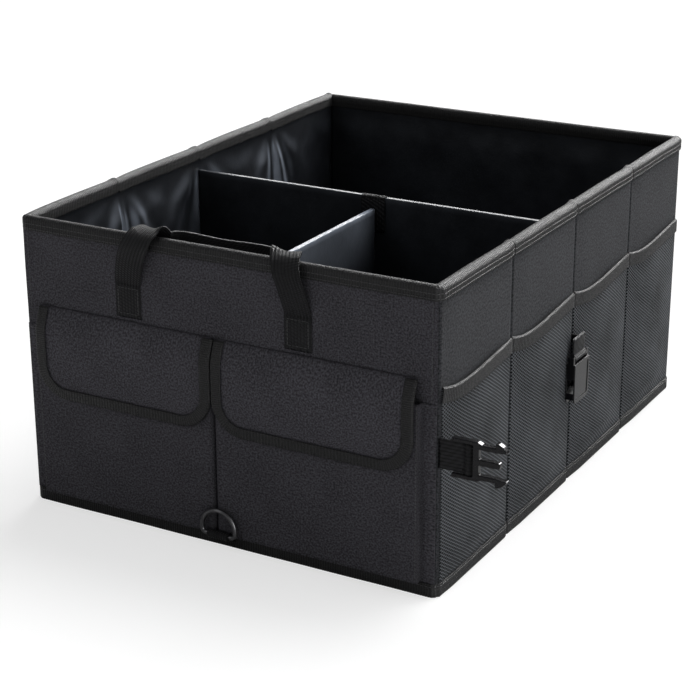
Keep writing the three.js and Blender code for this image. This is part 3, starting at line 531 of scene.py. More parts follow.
def box_stations(step, corner):
    """Stations round the outside of the box: (point in plan, way out, wall, run along it)."""
    stations = []
    for wall, (along, outward, half_run, face) in WALLS.items():
        reach = half_run - corner
        for run in spaced(-reach, reach, 2 * round(reach / step)):
            stations.append((along * run + outward * face, outward, wall, run))
        centre = along * reach + outward * (face - corner)
        for i in range(1, 5):
            turn = math.pi / 2 * i / 5
            way = outward * math.cos(turn) + along * math.sin(turn)
            stations.append((centre + way * corner, way, wall, half_run))
    return stations + stations[:1]


def rim_lift(wall, run):
    """How far the rim stands above its lowest line: slack, with a kink at each side fold."""
    lift = 0.25 + 0.25 * noise.noise(Vector((run * 9, len(wall), 0.5)))
    if wall in ("right", "left"):
        ahead = (side_run(wall, run) + half_depth) % panel_length
        lift += 0.9 * math.exp(-(((panel_length - ahead) / 0.006) ** 2))
        lift -= 0.3 * math.exp(-((ahead / 0.008) ** 2))
        lift += 0.35 * math.sin(math.pi * ahead / panel_length)
    return RIM_LIFT * max(lift, 0.0)


rim_stations = box_stations(RIB_PITCH / 2, CORNER_RADIUS)


def taped_edge(name, profile, lift, node):
    """Tape round the box; profile is pairs of (out, up, share that follows the wall)."""
    length = path_length([station[0] for station in rim_stations])
    width = path_length([point[:2] for point in profile])

    def laid_along(across, up):
        index = round(across * (len(rim_stations) - 1))
        spot, outward, wall, run = rim_stations[index]
        out, height, share = profile[round(up * (len(profile) - 1))]
        rib = RIB_HEIGHT * (index % 2)
        swell = share * wall_swell(wall, run, height)
        height += lift(wall, run) + rib * (1 - share)
        return spot + outward * (out + swell + rib * share) + UP * height

    grid_piece(
        name, (len(rim_stations) - 1, len(profile) - 1), (length, width), laid_along, tape_finish,
        [node], thickness=TAPE_CLOTH)


rim_low, rim_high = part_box("rim_binding")
tape_reach = rim_high.x - half_width
inside_reach = half_width + inner_x + tape_reach
arch_foot = rim_high.z - RIM_ARCH
arch_half = (tape_reach + inside_reach) / 2
arch_middle = (tape_reach - inside_reach) / 2
rim_profile = [(tape_reach, up, 1.0) for up in spaced(rim_low.z, arch_foot, 5)]
for i in range(1, 12):
    across_top, over_top = math.cos(math.pi * i / 12), math.sin(math.pi * i / 12)
    rim_profile.append((
        arch_middle + arch_half * across_top, arch_foot + RIM_ARCH * over_top,
        0.5 + 0.5 * across_top))
rim_profile += [(-inside_reach, up, 0.0) for up in spaced(arch_foot, rim_low.z, 5)]
taped_edge("rim_tape", rim_profile, rim_lift, "rim_binding")

hem_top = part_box("hem_binding")[1].z
hem_line = [(-0.001, 0.0), (tape_reach - 0.0009, 0.0), (tape_reach - 0.0003, 0.0002)]
hem_line += [(tape_reach, up) for up in spaced(0.0008, hem_top - 0.0004, 6)]
hem_line += [(0.0009, hem_top + 0.0001), (0.0003, hem_top)]
taped_edge("hem_tape", [(out, up, 1.0) for out, up in hem_line], lambda wall, run: 0.0,
           "hem_binding")


# Stitches: black polyester thread in lockstitch rows. Each row is one thread that lies on the cloth
# for the length of a stitch and dips into it at each needle hole.
STITCH_PITCH = 0.0036
STITCH_THICKNESS = 0.0006
STITCH_DIP = 0.0007
STITCH_STEPS = 6
THREAD_DARK = (0.012, 0.012, 0.013)
THREAD_LIT = (0.04, 0.04, 0.043)
RIM_ROWS = (0.2497, 0.2537)
HEM_ROW = 0.0096
CORNER_SEAM = 0.0042
thread_maker = Finish("sewing_thread")
thread_twist = thread_maker.cloud(thread_maker.place("Object"), 2500.0)
thread_finish = thread_maker.surface({
    "Base Color": thread_maker.between(thread_twist, tone(THREAD_DARK), tone(THREAD_LIT)),
    "Roughness": 0.45,
    "Specular IOR Level": 0.5,
})


def even_steps(row, step):
    """Points an even step apart along a row of (point, way out)."""
    total = sum((b[0] - a[0]).length for a, b in zip(row, row[1:]))
    count = max(round(total / step), 2)
    spaced, travelled = [row[0]], 0.0
    for (start, out), (end, _) in zip(row, row[1:]):
        run = (end - start).length
        while run and len(spaced) < count and travelled + run >= total * len(spaced) / count:
            spaced.append((start.lerp(end, (total * len(spaced) / count - travelled) / run), out))
        travelled += run
    return spaced + [row[-1]]


def stitch_rows(name, rows, body="box"):
    """Threads along rows of (point on the cloth, way out)."""
    bm = bmesh.new()
    for row in rows:
        spots = even_steps(row, STITCH_PITCH / STITCH_STEPS)
        made = bmesh.ops.create_grid(bm, x_segments=len(spots) - 1, y_segments=5, size=0.5)
        for vertex in made["verts"]:
            index = round((vertex.co.x + 0.5) * (len(spots) - 1))
            turn = 2 * math.pi * (vertex.co.y + 0.5)
            spot, out = spots[index]
            ahead = spots[min(index + 1, len(spots) - 1)][0] - spots[max(index - 1, 0)][0]
            aside = out.cross(ahead).normalized()
            sink = STITCH_DIP * (1 - abs(math.sin(math.pi * index / STITCH_STEPS)) ** 0.5)
            spot = spot + out * (math.cos(turn) * STITCH_THICKNESS / 2 - sink)
            vertex.co = spot - aside * (math.sin(turn) * STITCH_THICKNESS / 2)
        bmesh.ops.remove_doubles(bm, verts=made["verts"], dist=SAME_SPOT)
    for face in bm.faces:
        face.smooth = True
    new_piece(name, bm, thread_finish, body=body)


def row_round_box(up, lift):
    row = []
    for spot, outward, wall, run in rim_stations:
        out = tape_reach + wall_swell(wall, run, up) + RIB_HEIGHT
        row.append((spot + outward * out + UP * (up + lift(wall, run)), outward))
    return row


def row_up_wall(wall, run):
    return [(on_wall(wall, run, up, wall_swell(wall, run, up) + 0.0002), WALLS[wall][1])
            for up in spaced(hem_top + 0.002, rim_low.z - 0.002, 60)]


stitch_rows("rim_stitches", [row_round_box(up, rim_lift) for up in RIM_ROWS])
stitch_rows("hem_stitches", [row_round_box(HEM_ROW, lambda wall, run: 0.0)])
stitch_rows("corner_stitches", [
    row_up_wall(wall, edge * (half_width - CORNER_SEAM))
    for wall in ("front", "rear") for edge in (-1, 1)])


# Front pouches: one flat cloth each, sewn down at the middle and beside the corners and along the
# foot, with a pleat at each side that lets it stand off the wall.
POUCH_CLOTH = 0.0007
POUCH_HOLLOW = 0.0022
PLEAT_WIDTH = 0.012
SEAM_ROUND = 0.0085


def pouch(name, node, seam_side):
    """A pouch sewn down on its seam side. Returns its rows of thread: down the fold, on the strip."""
    low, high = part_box(node)
    wall_y, front_y, rise = high.y, low.y, high.z - low.z
    seam, corner = (high.x, low.x) if seam_side > 0 else (low.x, high.x)
    way = -seam_side
    fold = corner - way * PLEAT_WIDTH
    line = [(seam + way * aside, y) for aside, y in (
        (0.0, wall_y - 0.0008), (0.0002, wall_y - 0.003), (0.0005, front_y + 0.0026),
        (0.0014, front_y + 0.0010), (0.0034, front_y + 0.0002))]
    line += [(x, front_y) for x in spaced(seam + way * SEAM_ROUND, fold - way * 0.0012, 44)]
    line += [(fold + way * aside, y) for aside, y in (
        (-0.0003, front_y + 0.0003), (0.0, front_y + 0.0012), (-0.0002, wall_y - 0.0022),
        (0.0004, wall_y - 0.0012), (0.0018, wall_y - 0.0008), (0.006, wall_y - 0.0008),
        (PLEAT_WIDTH, wall_y - 0.0008))]
    line = line[::way]
    width = path_length(line)

    def laid_as_pouch(across, up):
        x, y = line[round(across * (len(line) - 1))]
        height = low.z + up * rise
        middle = smooth(abs(x - seam) / 0.05) * smooth(abs(fold - x) / 0.03) * smooth(up / 0.2)
        hollow = 0.5 + 0.5 * noise.noise(Vector((x * 11, height * 9, 4.4)))
        sunk = POUCH_HOLLOW * hollow * middle if y < front_y + 1e-5 else 0.0
        return Vector((x, y + sunk, height))

    cloth = grid_piece(
        name, (len(line) - 1, 60), (width, rise), laid_as_pouch, front_cloth,
        [node], thickness=POUCH_CLOTH)
    down = [Vector((fold - way * 0.0018, front_y - 0.0001, up))
            for up in spaced(low.z + 0.004, high.z - 0.002, 60)]
    strip = [Vector((x, wall_y - 0.0009, high.z - 0.0035)) for x in spaced(fold, corner, 8)[2:]]
    return [[(spot, FORWARD) for spot in row] for row in (down, strip)]


pouch_rows = pouch("left_pouch_cloth", "pouch_left", 1)
pouch_rows += pouch("right_pouch_cloth", "pouch_right", -1)
stitch_rows("pouch_stitches", pouch_rows)


# Flaps: Oxford cloth that hangs from a piped seam over each pouch, bound along its free edges with
# the ribbed tape round two generous corners.
FLAP_CLOTH = 0.0009
FLAP_CORNER = 0.028
FLAP_TAPE_WIDTH = 0.0088
# The flaps are the front cloth made lighter by this factor: painted light, since the flaps catch more
# light than the pouches below them.
FLAP_LIGHTENING = 1.15
TAPE_BELOW_SEAM = 0.0040
SEAM_BEND = 0.012
PIPING = 0.0013
KNEE = 0.017
TAPE_ROW = 0.0066

# The flaps' lighter copy of the front cloth: painted light.
lit_flap_finish = oxford(
    "lit_flap_oxford", [part * FLAP_LIGHTENING for part in FRONT_CLOTH_LIGHTENED_COLOUR], *FRONT_GRAIN)


def flap(name, node, body):
    """A flap over its pouch with its tape and stitches, given the seam between two bodies. Nothing
    bends them there.
    """
    low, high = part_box(node)
    hinge = (high.y - 0.0009, high.z - 0.0009)
    front_y = low.y
    body = ("box", body, (0, hinge[0], hinge[1]), (0, hinge[0], hinge[1] - SEAM_BEND))
    knee_z = hinge[1] - KNEE
    fall = [(hinge[0] + PIPING * math.cos(turn), hinge[1] + PIPING * math.sin(turn))
            for turn in [math.radians(step) for step in range(0, 160, 20)]]
    fall += [
        (hinge[0] - 0.0022, hinge[1] - 0.0006), (hinge[0] - 0.0040, hinge[1] - 0.0045),
        (hinge[0] - 0.0058, hinge[1] - 0.0095), (front_y + 0.0012, knee_z + 0.003),
        (front_y + 0.0003, knee_z - 0.001),
    ]
    fall += [(front_y, z) for z in spaced(knee_z - 0.006, low.z, 26)]
    depths = [0.0]
    for a, b in zip(fall, fall[1:]):
        depths.append(depths[-1] + math.dist(a, b))
    drop = depths[-1]
    half = (high.x - low.x) / 2
    middle = (high.x + low.x) / 2

    def at_depth(depth):
        """The flap's face that far down the cloth: (y, z, way out)."""
        depth = min(max(depth, 0.0), drop)
        index = next((i for i in range(len(depths) - 1) if depths[i + 1] >= depth), len(depths) - 2)
        share = (depth - depths[index]) / (depths[index + 1] - depths[index])
        a, b = fall[index], fall[index + 1]
        way = Vector((0, b[0] - a[0], b[1] - a[1])).normalized()
        y, z = a[0] + (b[0] - a[0]) * share, a[1] + (b[1] - a[1]) * share
        return y, z, Vector((0, way.z, -way.y))

    def reach_at(depth):
        """Half the flap's width at that depth, drawn in by its round corners."""
        inside = depth - (drop - FLAP_CORNER)
        if inside <= 0:
            return half
        return half - FLAP_CORNER + math.sqrt(max(FLAP_CORNER ** 2 - inside ** 2, 0.0))

    def pucker(x, depth):
        near = smooth(depth / 0.02) * smooth((drop - depth) / 0.012)
        side = half - abs(x - middle)
        crease_line = math.exp(-((side - depth * 0.9 - 0.004) / 0.004) ** 2)
        crease_line *= smooth((0.05 - depth) / 0.03)
        billow = 0.5 + 0.5 * noise.noise(Vector((x * 15, depth * 15, 8.8)))
        return near * (0.0008 * crease_line + 0.0006 * billow * smooth(side / 0.02))

    def point(x, depth, lift=0.0):
        y, z, out = at_depth(depth)
        return Vector((x, y, z)) + out * (lift + pucker(x, depth))

    def laid_as_flap(across, up):
        depth = drop * (1 - up ** 1.25)
        return point(middle + (across * 2 - 1) * reach_at(depth), depth)

    cloth = grid_piece(
        f"{name}_cloth", (72, 64), (2 * half, drop), laid_as_flap, lit_flap_finish,
        [node], body, thickness=FLAP_CLOTH)

    straight = drop - FLAP_CORNER
    down = [(middle - half, depth, Vector((1, 0)))
            for depth in spaced(TAPE_BELOW_SEAM, straight, 40)[:-1]]
    for i in range(28):
        aside, fallen = math.cos(math.pi / 2 * i / 28), math.sin(math.pi / 2 * i / 28)
        down.append((middle - half + FLAP_CORNER * (1 - aside), straight + FLAP_CORNER * fallen,
                     Vector((aside, -fallen))))
    straight_half = half - FLAP_CORNER
    edge = down + [(x, drop, Vector((0, -1)))
                   for x in spaced(middle - straight_half, middle + straight_half, 60)]
    edge += [(2 * middle - x, depth, Vector((-way.x, way.y))) for x, depth, way in reversed(down)]
    proud, under = 0.0009, FLAP_CLOTH + 0.0005
    section = [(FLAP_TAPE_WIDTH * (1 - i / 5) - 0.001, proud) for i in range(6)]
    section += [(-0.0016, proud * 0.4), (-0.0018, -FLAP_CLOTH / 2), (-0.0014, -under * 0.9)]
    section += [(FLAP_TAPE_WIDTH * i / 4 - 0.001, -under) for i in range(5)]
    length = path_length([spot[:2] for spot in edge])
    width = path_length(section)

    def laid_on_edge(across, up):
        x, depth, inward = edge[round((1 - across) * (len(edge) - 1))]
        aside, lift = section[round((1 - up) * (len(section) - 1))]
        spot_x, spot_depth = x + inward.x * aside, depth + inward.y * aside
        past = max(spot_depth - drop, 0.0)
        return point(spot_x, spot_depth, lift) - UP * past

    grid_piece(
        f"{name}_tape", (len(edge) - 1, len(section) - 1), (length, width), laid_on_edge,
        tape_finish, [f"{node}_binding"], body, thickness=0.0005)
    row = [(point(x + way.x * TAPE_ROW, depth + way.y * TAPE_ROW, proud + 0.0001), FORWARD)
           for x, depth, way in edge]
    stitch_rows(f"{name}_stitches", [row], body)


flap("left_flap", "flap_left", "left_flap")
flap("right_flap", "flap_right", "right_flap")


# Mesh pockets: stiff open-knit mesh sewn over each side panel at the folds and the foot, a little
# full so that it stands off, with its sagging mouth bound in the ribbed tape.
MESH_COLOUR = (0.0155, 0.0165, 0.0180)
MESH_ACROSS = 0.0046
MESH_UP = 0.0031
MESH_CLOTH = 0.0008
MESH_FULLNESS = 0.0044
MOUTH_FULLNESS = 0.0026
MESH_SAG = 0.0040
MESH_TAPE_HEIGHT = 0.011
MOUTH_TAPE_WIDTH = 0.0215
STAND_OFF = 0.0009
LEAN_STEP = 0.0012

mesh_maker = Finish("pocket_mesh")
mesh_across, mesh_rise = mesh_maker.flat()
mesh_across *= 2 * math.pi / MESH_ACROSS
mesh_rise *= 2 * math.pi / MESH_UP
slope_one, slope_two = (mesh_across + mesh_rise).sine(), (mesh_across - mesh_rise).sine()
mesh_grain = mesh_maker.cloud(mesh_maker.place("UV"), 1000.0, 2.0, 0.6)
mesh_patches = mesh_maker.cloud(mesh_maker.place("UV"), 16.0, 2.0)
holes = slope_one.maths("MAXIMUM", slope_one, slope_two) * 0.5 + 0.5
mesh_share = (holes * 6.0 - 4.6 + (mesh_grain - 0.5) * 2.4 + (mesh_patches - 0.5) * 2.6).clamped()
mesh_finish = mesh_maker.surface({
    "Base Color": mesh_maker.between(mesh_share, tone(MESH_COLOUR, 0.01), tone(MESH_COLOUR, 7.5)),
    "Roughness": 0.6,
    "Specular IOR Level": 0.05,
    "Normal": mesh_maker.bump(holes + mesh_grain * 0.3, 0.6, 0.0007),
})

mesh_rows = []
for index in range(1, 5):
    low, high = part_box(f"mesh_pocket_{index}")
    span = high.y - low.y

    def stand_off(y, fullness=MOUTH_FULLNESS, low=low, span=span):
        share = (y - low.y) / span * 2 - 1
        return side_bow(y) + STAND_OFF + fullness * max(1 - share * share, 0.0) ** 1.2

    def mouth(y, low=low, high=high, span=span):
        share = min(max((y - low.y) / span, 0.0), 1.0)
        return high.z - MESH_SAG * 9.48 * share * (1 - share) ** 3

    def laid_as_pocket(across, up, low=low, span=span):
        y = low.y + across * span
        height = low.z + up * (mouth(y) - low.z)
        tuck = smooth(up / 0.12)
        full = MESH_FULLNESS + (MOUTH_FULLNESS - MESH_FULLNESS) * smooth((up - 0.55) / 0.4)
        ripple = 0.0006 * noise.noise(Vector((y * 30, height * 20, 2.2)))
        ripple *= tuck * math.sin(math.pi * across)
        lying = side_bow(y) + STAND_OFF
        out = lying + (stand_off(y, full) - lying) * tuck + ripple
        return Vector((half_width + out, y, height))

    pocket = grid_piece(
        f"mesh_pocket_{index}_cloth", (64, 64), (span, high.z - low.z), laid_as_pocket, mesh_finish,
        [f"mesh_pocket_{index}"], thickness=MESH_CLOTH)
    proud, under = 0.0008, MESH_CLOTH + 0.0004
    section = [(MESH_TAPE_HEIGHT * (1 - i / 5), proud) for i in range(6)]
    section += [(-0.0010, proud * 0.4), (-0.0013, -MESH_CLOTH / 2), (-0.0010, -under * 0.7)]
    section += [(0.008 * i / 3, -under) for i in range(4)]
    columns = 2 * round(span / RIB_PITCH)

    def laid_on_mouth(across, up, low=low, span=span, section=section):
        y = low.y + across * span
        below, lift = section[round((1 - up) * (len(section) - 1))]
        step = LEAN_STEP
        lean = (mouth(y + step) - mouth(y - step)) / (2 * step)
        tilt = Vector((0, -lean, 1)).normalized()
        y_at = y - tilt.y * below
        rib = RIB_HEIGHT * (round(across * columns) % 2)
        swing = (stand_off(y_at + step) - stand_off(y_at - step)) / (2 * step)
        out = Vector((1, -max(min(swing, 0.5), -0.5), 0)).normalized()
        stand = stand_off(min(max(y_at, low.y), high.y))
        return Vector((half_width + stand, y_at, mouth(y) - tilt.z * below)) + out * (lift + rib)

    grid_piece(
        f"mesh_pocket_{index}_tape", (columns, len(section) - 1), (span, MOUTH_TAPE_WIDTH),
        laid_on_mouth, tape_finish, [f"mesh_pocket_binding_{index}"],
        thickness=0.0004)
    mesh_rows.append([
        (Vector((half_width + stand_off(y) + proud + 0.0002, y, mouth(y) - 0.0088)), RIGHT)
        for y in spaced(low.y + 0.001, high.y - 0.001, 40)])
stitch_rows("mesh_pocket_stitches", mesh_rows)


# Webbing: black polypropylene straps 25 mm wide, woven in lengthwise ribs, sewn through at their
# ends. The front handle has flopped inwards over the rim and the rear one hangs down its wall.
WEBBING_COLOUR = (0.0045, 0.0045, 0.0055)
RIBS_ACROSS = 9
RIB_SPAN = 0.0028
WEFT_PITCH = 0.0016
WEFT_LEAN = 900.0

strap_maker = Finish("webbing")
strap_across, strap_up = strap_maker.flat()
strap_ridge = (strap_across * (math.pi / RIB_SPAN)).sine().size()
strap_pass = (strap_up * (2 * math.pi / WEFT_PITCH) + strap_across * WEFT_LEAN).sine() * 0.5 + 0.5
strap_grain = strap_maker.cloud(strap_maker.place("UV"), 1000.0, 2.0, 0.6)
strap_share = (strap_ridge * 0.5 + strap_pass * 0.45 + (strap_grain - 0.5) * 0.8 - 0.1).clamped()
strap_finish = strap_maker.surface({
    "Base Color": strap_maker.between(
        strap_share, tone(WEBBING_COLOUR, 0.2), tone(WEBBING_COLOUR, 2.4)),
    "Roughness": 0.8 - strap_ridge * 0.4,
    "Specular IOR Level": 0.2,
    "Normal": strap_maker.bump(strap_ridge + strap_pass * 0.7 + strap_grain * 0.4, 0.9, 0.0006),
})


def curve_spot(points, share):
    """A point on the smooth curve through points, share of the way from first to last."""
    travelled = share * (len(points) - 1)
    index = min(int(travelled), len(points) - 2)
    ahead = travelled - index
    one, two = points[index], points[index + 1]
    zero = points[index - 1] if index else 2 * one - two
    three = points[index + 2] if index + 2 < len(points) else 2 * two - one
    first, second, third = [
        max((b - a).length, 1e-6) ** 0.5 for a, b in ((zero, one), (one, two), (two, three))]
    leave = (one - zero) / first - (two - zero) / (first + second) + (two - one) / second
    arrive = (two - one) / second - (three - one) / (second + third) + (three - two) / third
    leave, arrive = leave * second, arrive * second
    bend = (3 * (two - one) - 2 * leave - arrive) * (ahead * ahead)
    return one + leave * ahead + bend + (2 * (one - two) + leave + arrive) * ahead ** 3


def strap_section():
    """Once round a strap: pairs of (share of the half width, share of the half thickness)."""
    steps = RIBS_ACROSS * 4
    face = [(-1 + 2 * i / steps, 1.0 if i % 4 else 0.55) for i in range(1, steps)]
    edge = [(0.985, 0.7), (1.0, 0.0), (0.985, -0.7)]
    back = [(-aside, -lift) for aside, lift in face + edge]
    ring = face + edge + back
    return ring + ring[:1]


def strap(name, node, stations, steps, body="box"):
    """A strap through stations of (point, way its width runs, width, thickness)."""
    points = [station[0] for station in stations]
    section = strap_section()
    rows = []
    for i, share in enumerate(spaced(0, 1, steps)):
        travelled = min(share * (len(stations) - 1), len(stations) - 1.000001)
        before, after = stations[int(travelled)], stations[int(travelled) + 1]
        mix = travelled - int(travelled)
        spot = curve_spot(points, share)
        along = curve_spot(points, min(share + 1e-4, 1)) - curve_spot(points, max(share - 1e-4, 0))
        along.normalize()
        across = before[1].lerp(after[1], mix)
        across = (across - along * across.dot(along)).normalized()
        wide = before[2] + (after[2] - before[2]) * mix
        thick = before[3] + (after[3] - before[3]) * mix
        rows.append((spot, across, along.cross(across), wide, thick if 0 < i < steps else 0.0))
    size = (2 * RIBS_ACROSS * RIB_SPAN, path_length([row[0] for row in rows]))

    def laid_as_strap(across, up):
        aside, lift = section[round((1 - across) * (len(section) - 1))]
        spot, way, out, wide, thick = rows[round(up * steps)]
        return spot + way * (aside * wide / 2) + out * (lift * thick / 2)

    grid_piece(name, (len(section) - 1, steps), size, laid_as_strap, strap_finish,
               [node], body)


STRAP_WIDTH = 0.025
STRAP_THICKNESS = 0.0012
HANDLE_CENTRE = -0.008
HANDLE_HALF_SPAN = 0.081
HANDLE_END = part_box("handle_front")[0].z
SEWN_TOP = HANDLE_END + 0.030
SEWN_AT = half_depth + 0.0009
RIM_TOP = rim_high.z - 0.0013
GRIP_HALF = 0.042
GRIP_TALL = 0.013
GRIP_THICK = 0.0032
REAR_HANG = 0.078
REAR_CORNER = 0.024
FLAT_STRAP = (RIGHT, STRAP_WIDTH, STRAP_THICKNESS)


def front_leg(side, lean):
    """Stations up the front wall, over the rim and along the grip as far as it is straight."""
    inward = -side
    x = HANDLE_CENTRE + side * HANDLE_HALF_SPAN
    crest = RIM_TOP + 0.0065
    grip_y = -half_depth + 0.0192
    turned = (Vector((0.7, 0, inward * 0.7)), (STRAP_WIDTH + GRIP_TALL) / 2, STRAP_THICKNESS * 1.5)
    rising = [(Vector((x + inward * aside, -SEWN_AT - out, z)), *FLAT_STRAP) for aside, out, z in (
        (0, 0, HANDLE_END), (0, 0, SEWN_TOP - 0.002), (0, 0, SEWN_TOP),
        (lean / 3, 0.0049, (SEWN_TOP + RIM_TOP) / 2), (lean * 0.7, 0.007, RIM_TOP - 0.007),
        (lean, 0.003, crest - 0.003), (lean + 0.005, -0.007, crest))]
    return rising + [
        (Vector((x + inward * (lean + 0.013), grip_y - 0.006, crest - 0.0105)), *turned),
        (Vector((HANDLE_CENTRE + side * GRIP_HALF, grip_y, RIM_TOP - 0.003)),
         Vector((0, 0, inward)), GRIP_TALL, GRIP_THICK),
    ]


def turned_back(leg):
    return [(spot, -across, wide, thick) for spot, across, wide, thick in reversed(leg)]


left_leg = front_leg(-1, 0.018)
grip_end = left_leg[-1]
grip_middle = (Vector((HANDLE_CENTRE, grip_end[0].y + 0.001, grip_end[0].z - 0.001)), *grip_end[1:])
strap("front_handle_strap", "handle_front",
      [*left_leg, grip_middle, *turned_back(front_leg(1, 0.009))], 288)


def rear_leg(side):
    """Stations up the rear wall, round the sewn end's top and down to the hanging grip."""
    hang = SEWN_AT + 0.007
    foot = SEWN_TOP - REAR_HANG
    x = side * HANDLE_HALF_SPAN
    falling = [(Vector((x, y, z)), *FLAT_STRAP) for y, z in (
        (SEWN_AT, HANDLE_END), (SEWN_AT, SEWN_TOP - 0.002), (SEWN_AT, SEWN_TOP),
        (SEWN_AT + 0.0035, SEWN_TOP + 0.0035), (hang, SEWN_TOP - 0.002),
        (hang, foot + REAR_CORNER))]
    return falling + [
        (Vector((x - side * REAR_CORNER * 0.3, hang, foot + REAR_CORNER * 0.3)),
         Vector((0.7, 0, -side * 0.7)), *FLAT_STRAP[1:]),
        (Vector((x - side * REAR_CORNER, hang, foot)), Vector((0, 0, -side)), *FLAT_STRAP[1:]),
    ]


strap("rear_handle_strap", "handle_rear", [*rear_leg(-1), *turned_back(rear_leg(1))], 240)

tab_low, tab_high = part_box("divider_tab")
tab_y = tab_high.y - 0.0005
tab_line = [
    (-tab_y, tab_low.z), (-tab_y, tab_high.z - 0.0035), (-tab_y + 0.0007, tab_high.z - 0.0013),
    (0.0, tab_high.z - 0.0006), (tab_y - 0.0007, tab_high.z - 0.0013), (tab_y, tab_high.z - 0.0035),
    (tab_y, tab_low.z)]
strap("divider_tab_strap", "divider_tab",
      [(Vector((0, y, z)), RIGHT, 0.024, 0.001) for y, z in tab_line], 72)


def box_stitch(x, wall_side):
    """A box of stitches round the sewn end of a handle."""
    face = SEWN_AT + STRAP_THICKNESS / 2 + 0.0001
    left, right = x - 0.0095, x + 0.0095
    foot, top = HANDLE_END + 0.004, SEWN_TOP - 0.004
    corners = ((left, foot), (right, foot), (right, top), (left, top), (left, foot))
    return [(Vector((a, wall_side * face, b)), AHEAD * wall_side) for a, b in corners]


stitch_rows("handle_stitches", [
    box_stitch(centre + side * HANDLE_HALF_SPAN, wall_side)
    for centre, wall_side in ((HANDLE_CENTRE, -1), (0, 1)) for side in (-1, 1)])


# D-ring: black-plated steel wire of 4 mm, its straight bar held to the hem in a fold of webbing.
ring_low, ring_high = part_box("d_ring")
WIRE_RADIUS = (ring_high.y - ring_low.y) / 2
RING_CENTRE_Y = (ring_high.y + ring_low.y) / 2
RING_BAR_Z = ring_low.z + WIRE_RADIUS
RING_HALF = ring_high.x - WIRE_RADIUS
RING_LEG = ring_high.z - WIRE_RADIUS - RING_HALF - RING_BAR_Z
RING_BEND = 0.004
PLATING_DARK = (0.06, 0.06, 0.064)
PLATING_LIT = (0.12, 0.12, 0.125)

plated = Finish("plated_steel")
plated_wear = plated.cloud(plated.place("Object"), 160.0, 3.0)
plated_finish = plated.surface({
    "Base Color": plated.between(plated_wear, tone(PLATING_DARK), tone(PLATING_LIT)),
    "Metallic": 0.9,
    "Roughness": plated_wear * 0.15 + 0.28,
})


def ring_line():
    """The middle of the wire: the bow, then the bend to the bar and the bend back, as (x, z)."""
    line = [(RING_HALF * math.cos(turn), RING_BAR_Z + RING_LEG + RING_HALF * math.sin(turn))
            for turn in spaced(0, math.pi, 32)]
    for side in (-1, 1):
        bend = [(side * (RING_HALF - RING_BEND * (1 - math.cos(turn))),
                 RING_BAR_Z + RING_BEND * (1 - math.sin(turn)))
                for turn in spaced(0, math.pi / 2, 6)]
        line += bend[::-side]
    return line + line[:1]


ring_points = [Vector((x, RING_CENTRE_Y, z)) for x, z in ring_line()]


def laid_as_ring(across, up):
    count = len(ring_points) - 1
    index = round(across * count) % count
    along = (ring_points[(index + 1) % count] - ring_points[index - 1]).normalized()
    turn = -2 * math.pi * up
    aside = along.cross(AHEAD) * math.cos(turn) + AHEAD * math.sin(turn)
    return ring_points[index] + aside * WIRE_RADIUS


grid_piece("d_ring_wire", (len(ring_points) - 1, 18), (0.1, 0.0126), laid_as_ring, plated_finish,
           ["d_ring"], "ring")

ring_tab_low, ring_tab_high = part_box("d_ring_tab")
LOOP_RADIUS = RING_CENTRE_Y - ring_tab_low.y - STRAP_THICKNESS / 2
sewn_y = ring_tab_high.y - STRAP_THICKNESS / 2
ring_tab_line = [
    (sewn_y, ring_tab_low.z), (sewn_y, ring_tab_low.z + 0.003),
    (sewn_y - 0.0012, ring_tab_low.z + 0.005)]
for turn in (-62, -100, -140, -180, -220, -260, -300, -340, -380):
    angle = math.radians(turn)
    ring_tab_line.append((
        RING_CENTRE_Y + LOOP_RADIUS * math.cos(angle), RING_BAR_Z + LOOP_RADIUS * math.sin(angle)))
strap("d_ring_tab_strap", "d_ring_tab",
      [(Vector((0, y, z)), RIGHT, 0.020, STRAP_THICKNESS) for y, z in ring_tab_line], 96)


# Side-release buckle: glossy black moulded plastic. The plug stands out of the front right corner
# on a short strap, and its socket hangs on another over the middle fold of the right side.
PLASTIC_COLOUR = (0.005, 0.005, 0.006)
moulded = Finish("buckle_plastic")
moulded_haze = moulded.cloud(moulded.place("Object"), 300.0, 2.0)
moulded_finish = moulded.surface({
    "Base Color": moulded.between(
        moulded_haze, tone(PLASTIC_COLOUR, 0.8), tone(PLASTIC_COLOUR, 1.3)),
    "Roughness": moulded_haze * 0.08 + 0.18,
    "Specular IOR Level": 0.18,
})

BUCKLE_HALF = 0.0165
BUCKLE_THICK = 0.0055
BUCKLE_EDGE = 0.0015
BAR_RADIUS = 0.0018
RAIL_HALF = BUCKLE_HALF - 0.0034
BUCKLE_LOOP = BAR_RADIUS + 0.0003 + STRAP_THICKNESS
SLOT_END = BUCKLE_LOOP + 0.0006
BACK_END = 0.014


def prism(bm, outline, low, high, place, edge=BUCKLE_EDGE):
    """An outline of (u, v) drawn out from low to high, with rounded edges."""
    corners = [bm.verts.new(place(u, v, low)) for u, v in outline]
    base = bm.faces.new(corners)
    drawn = bmesh.ops.extrude_face_region(bm, geom=[base])
    fresh = [item for item in drawn["geom"] if isinstance(item, bmesh.types.BMVert)]
    shift = place(0, 0, high) - place(0, 0, low)
    for corner in fresh:
        corner.co += shift
    edges = dict.fromkeys(line for corner in corners + fresh for line in corner.link_edges)
    bmesh.ops.bevel(
        bm, geom=list(edges), offset=edge, offset_type="OFFSET", segments=3, profile=0.5,
        affect="EDGES", material=-1, clamp_overlap=True)


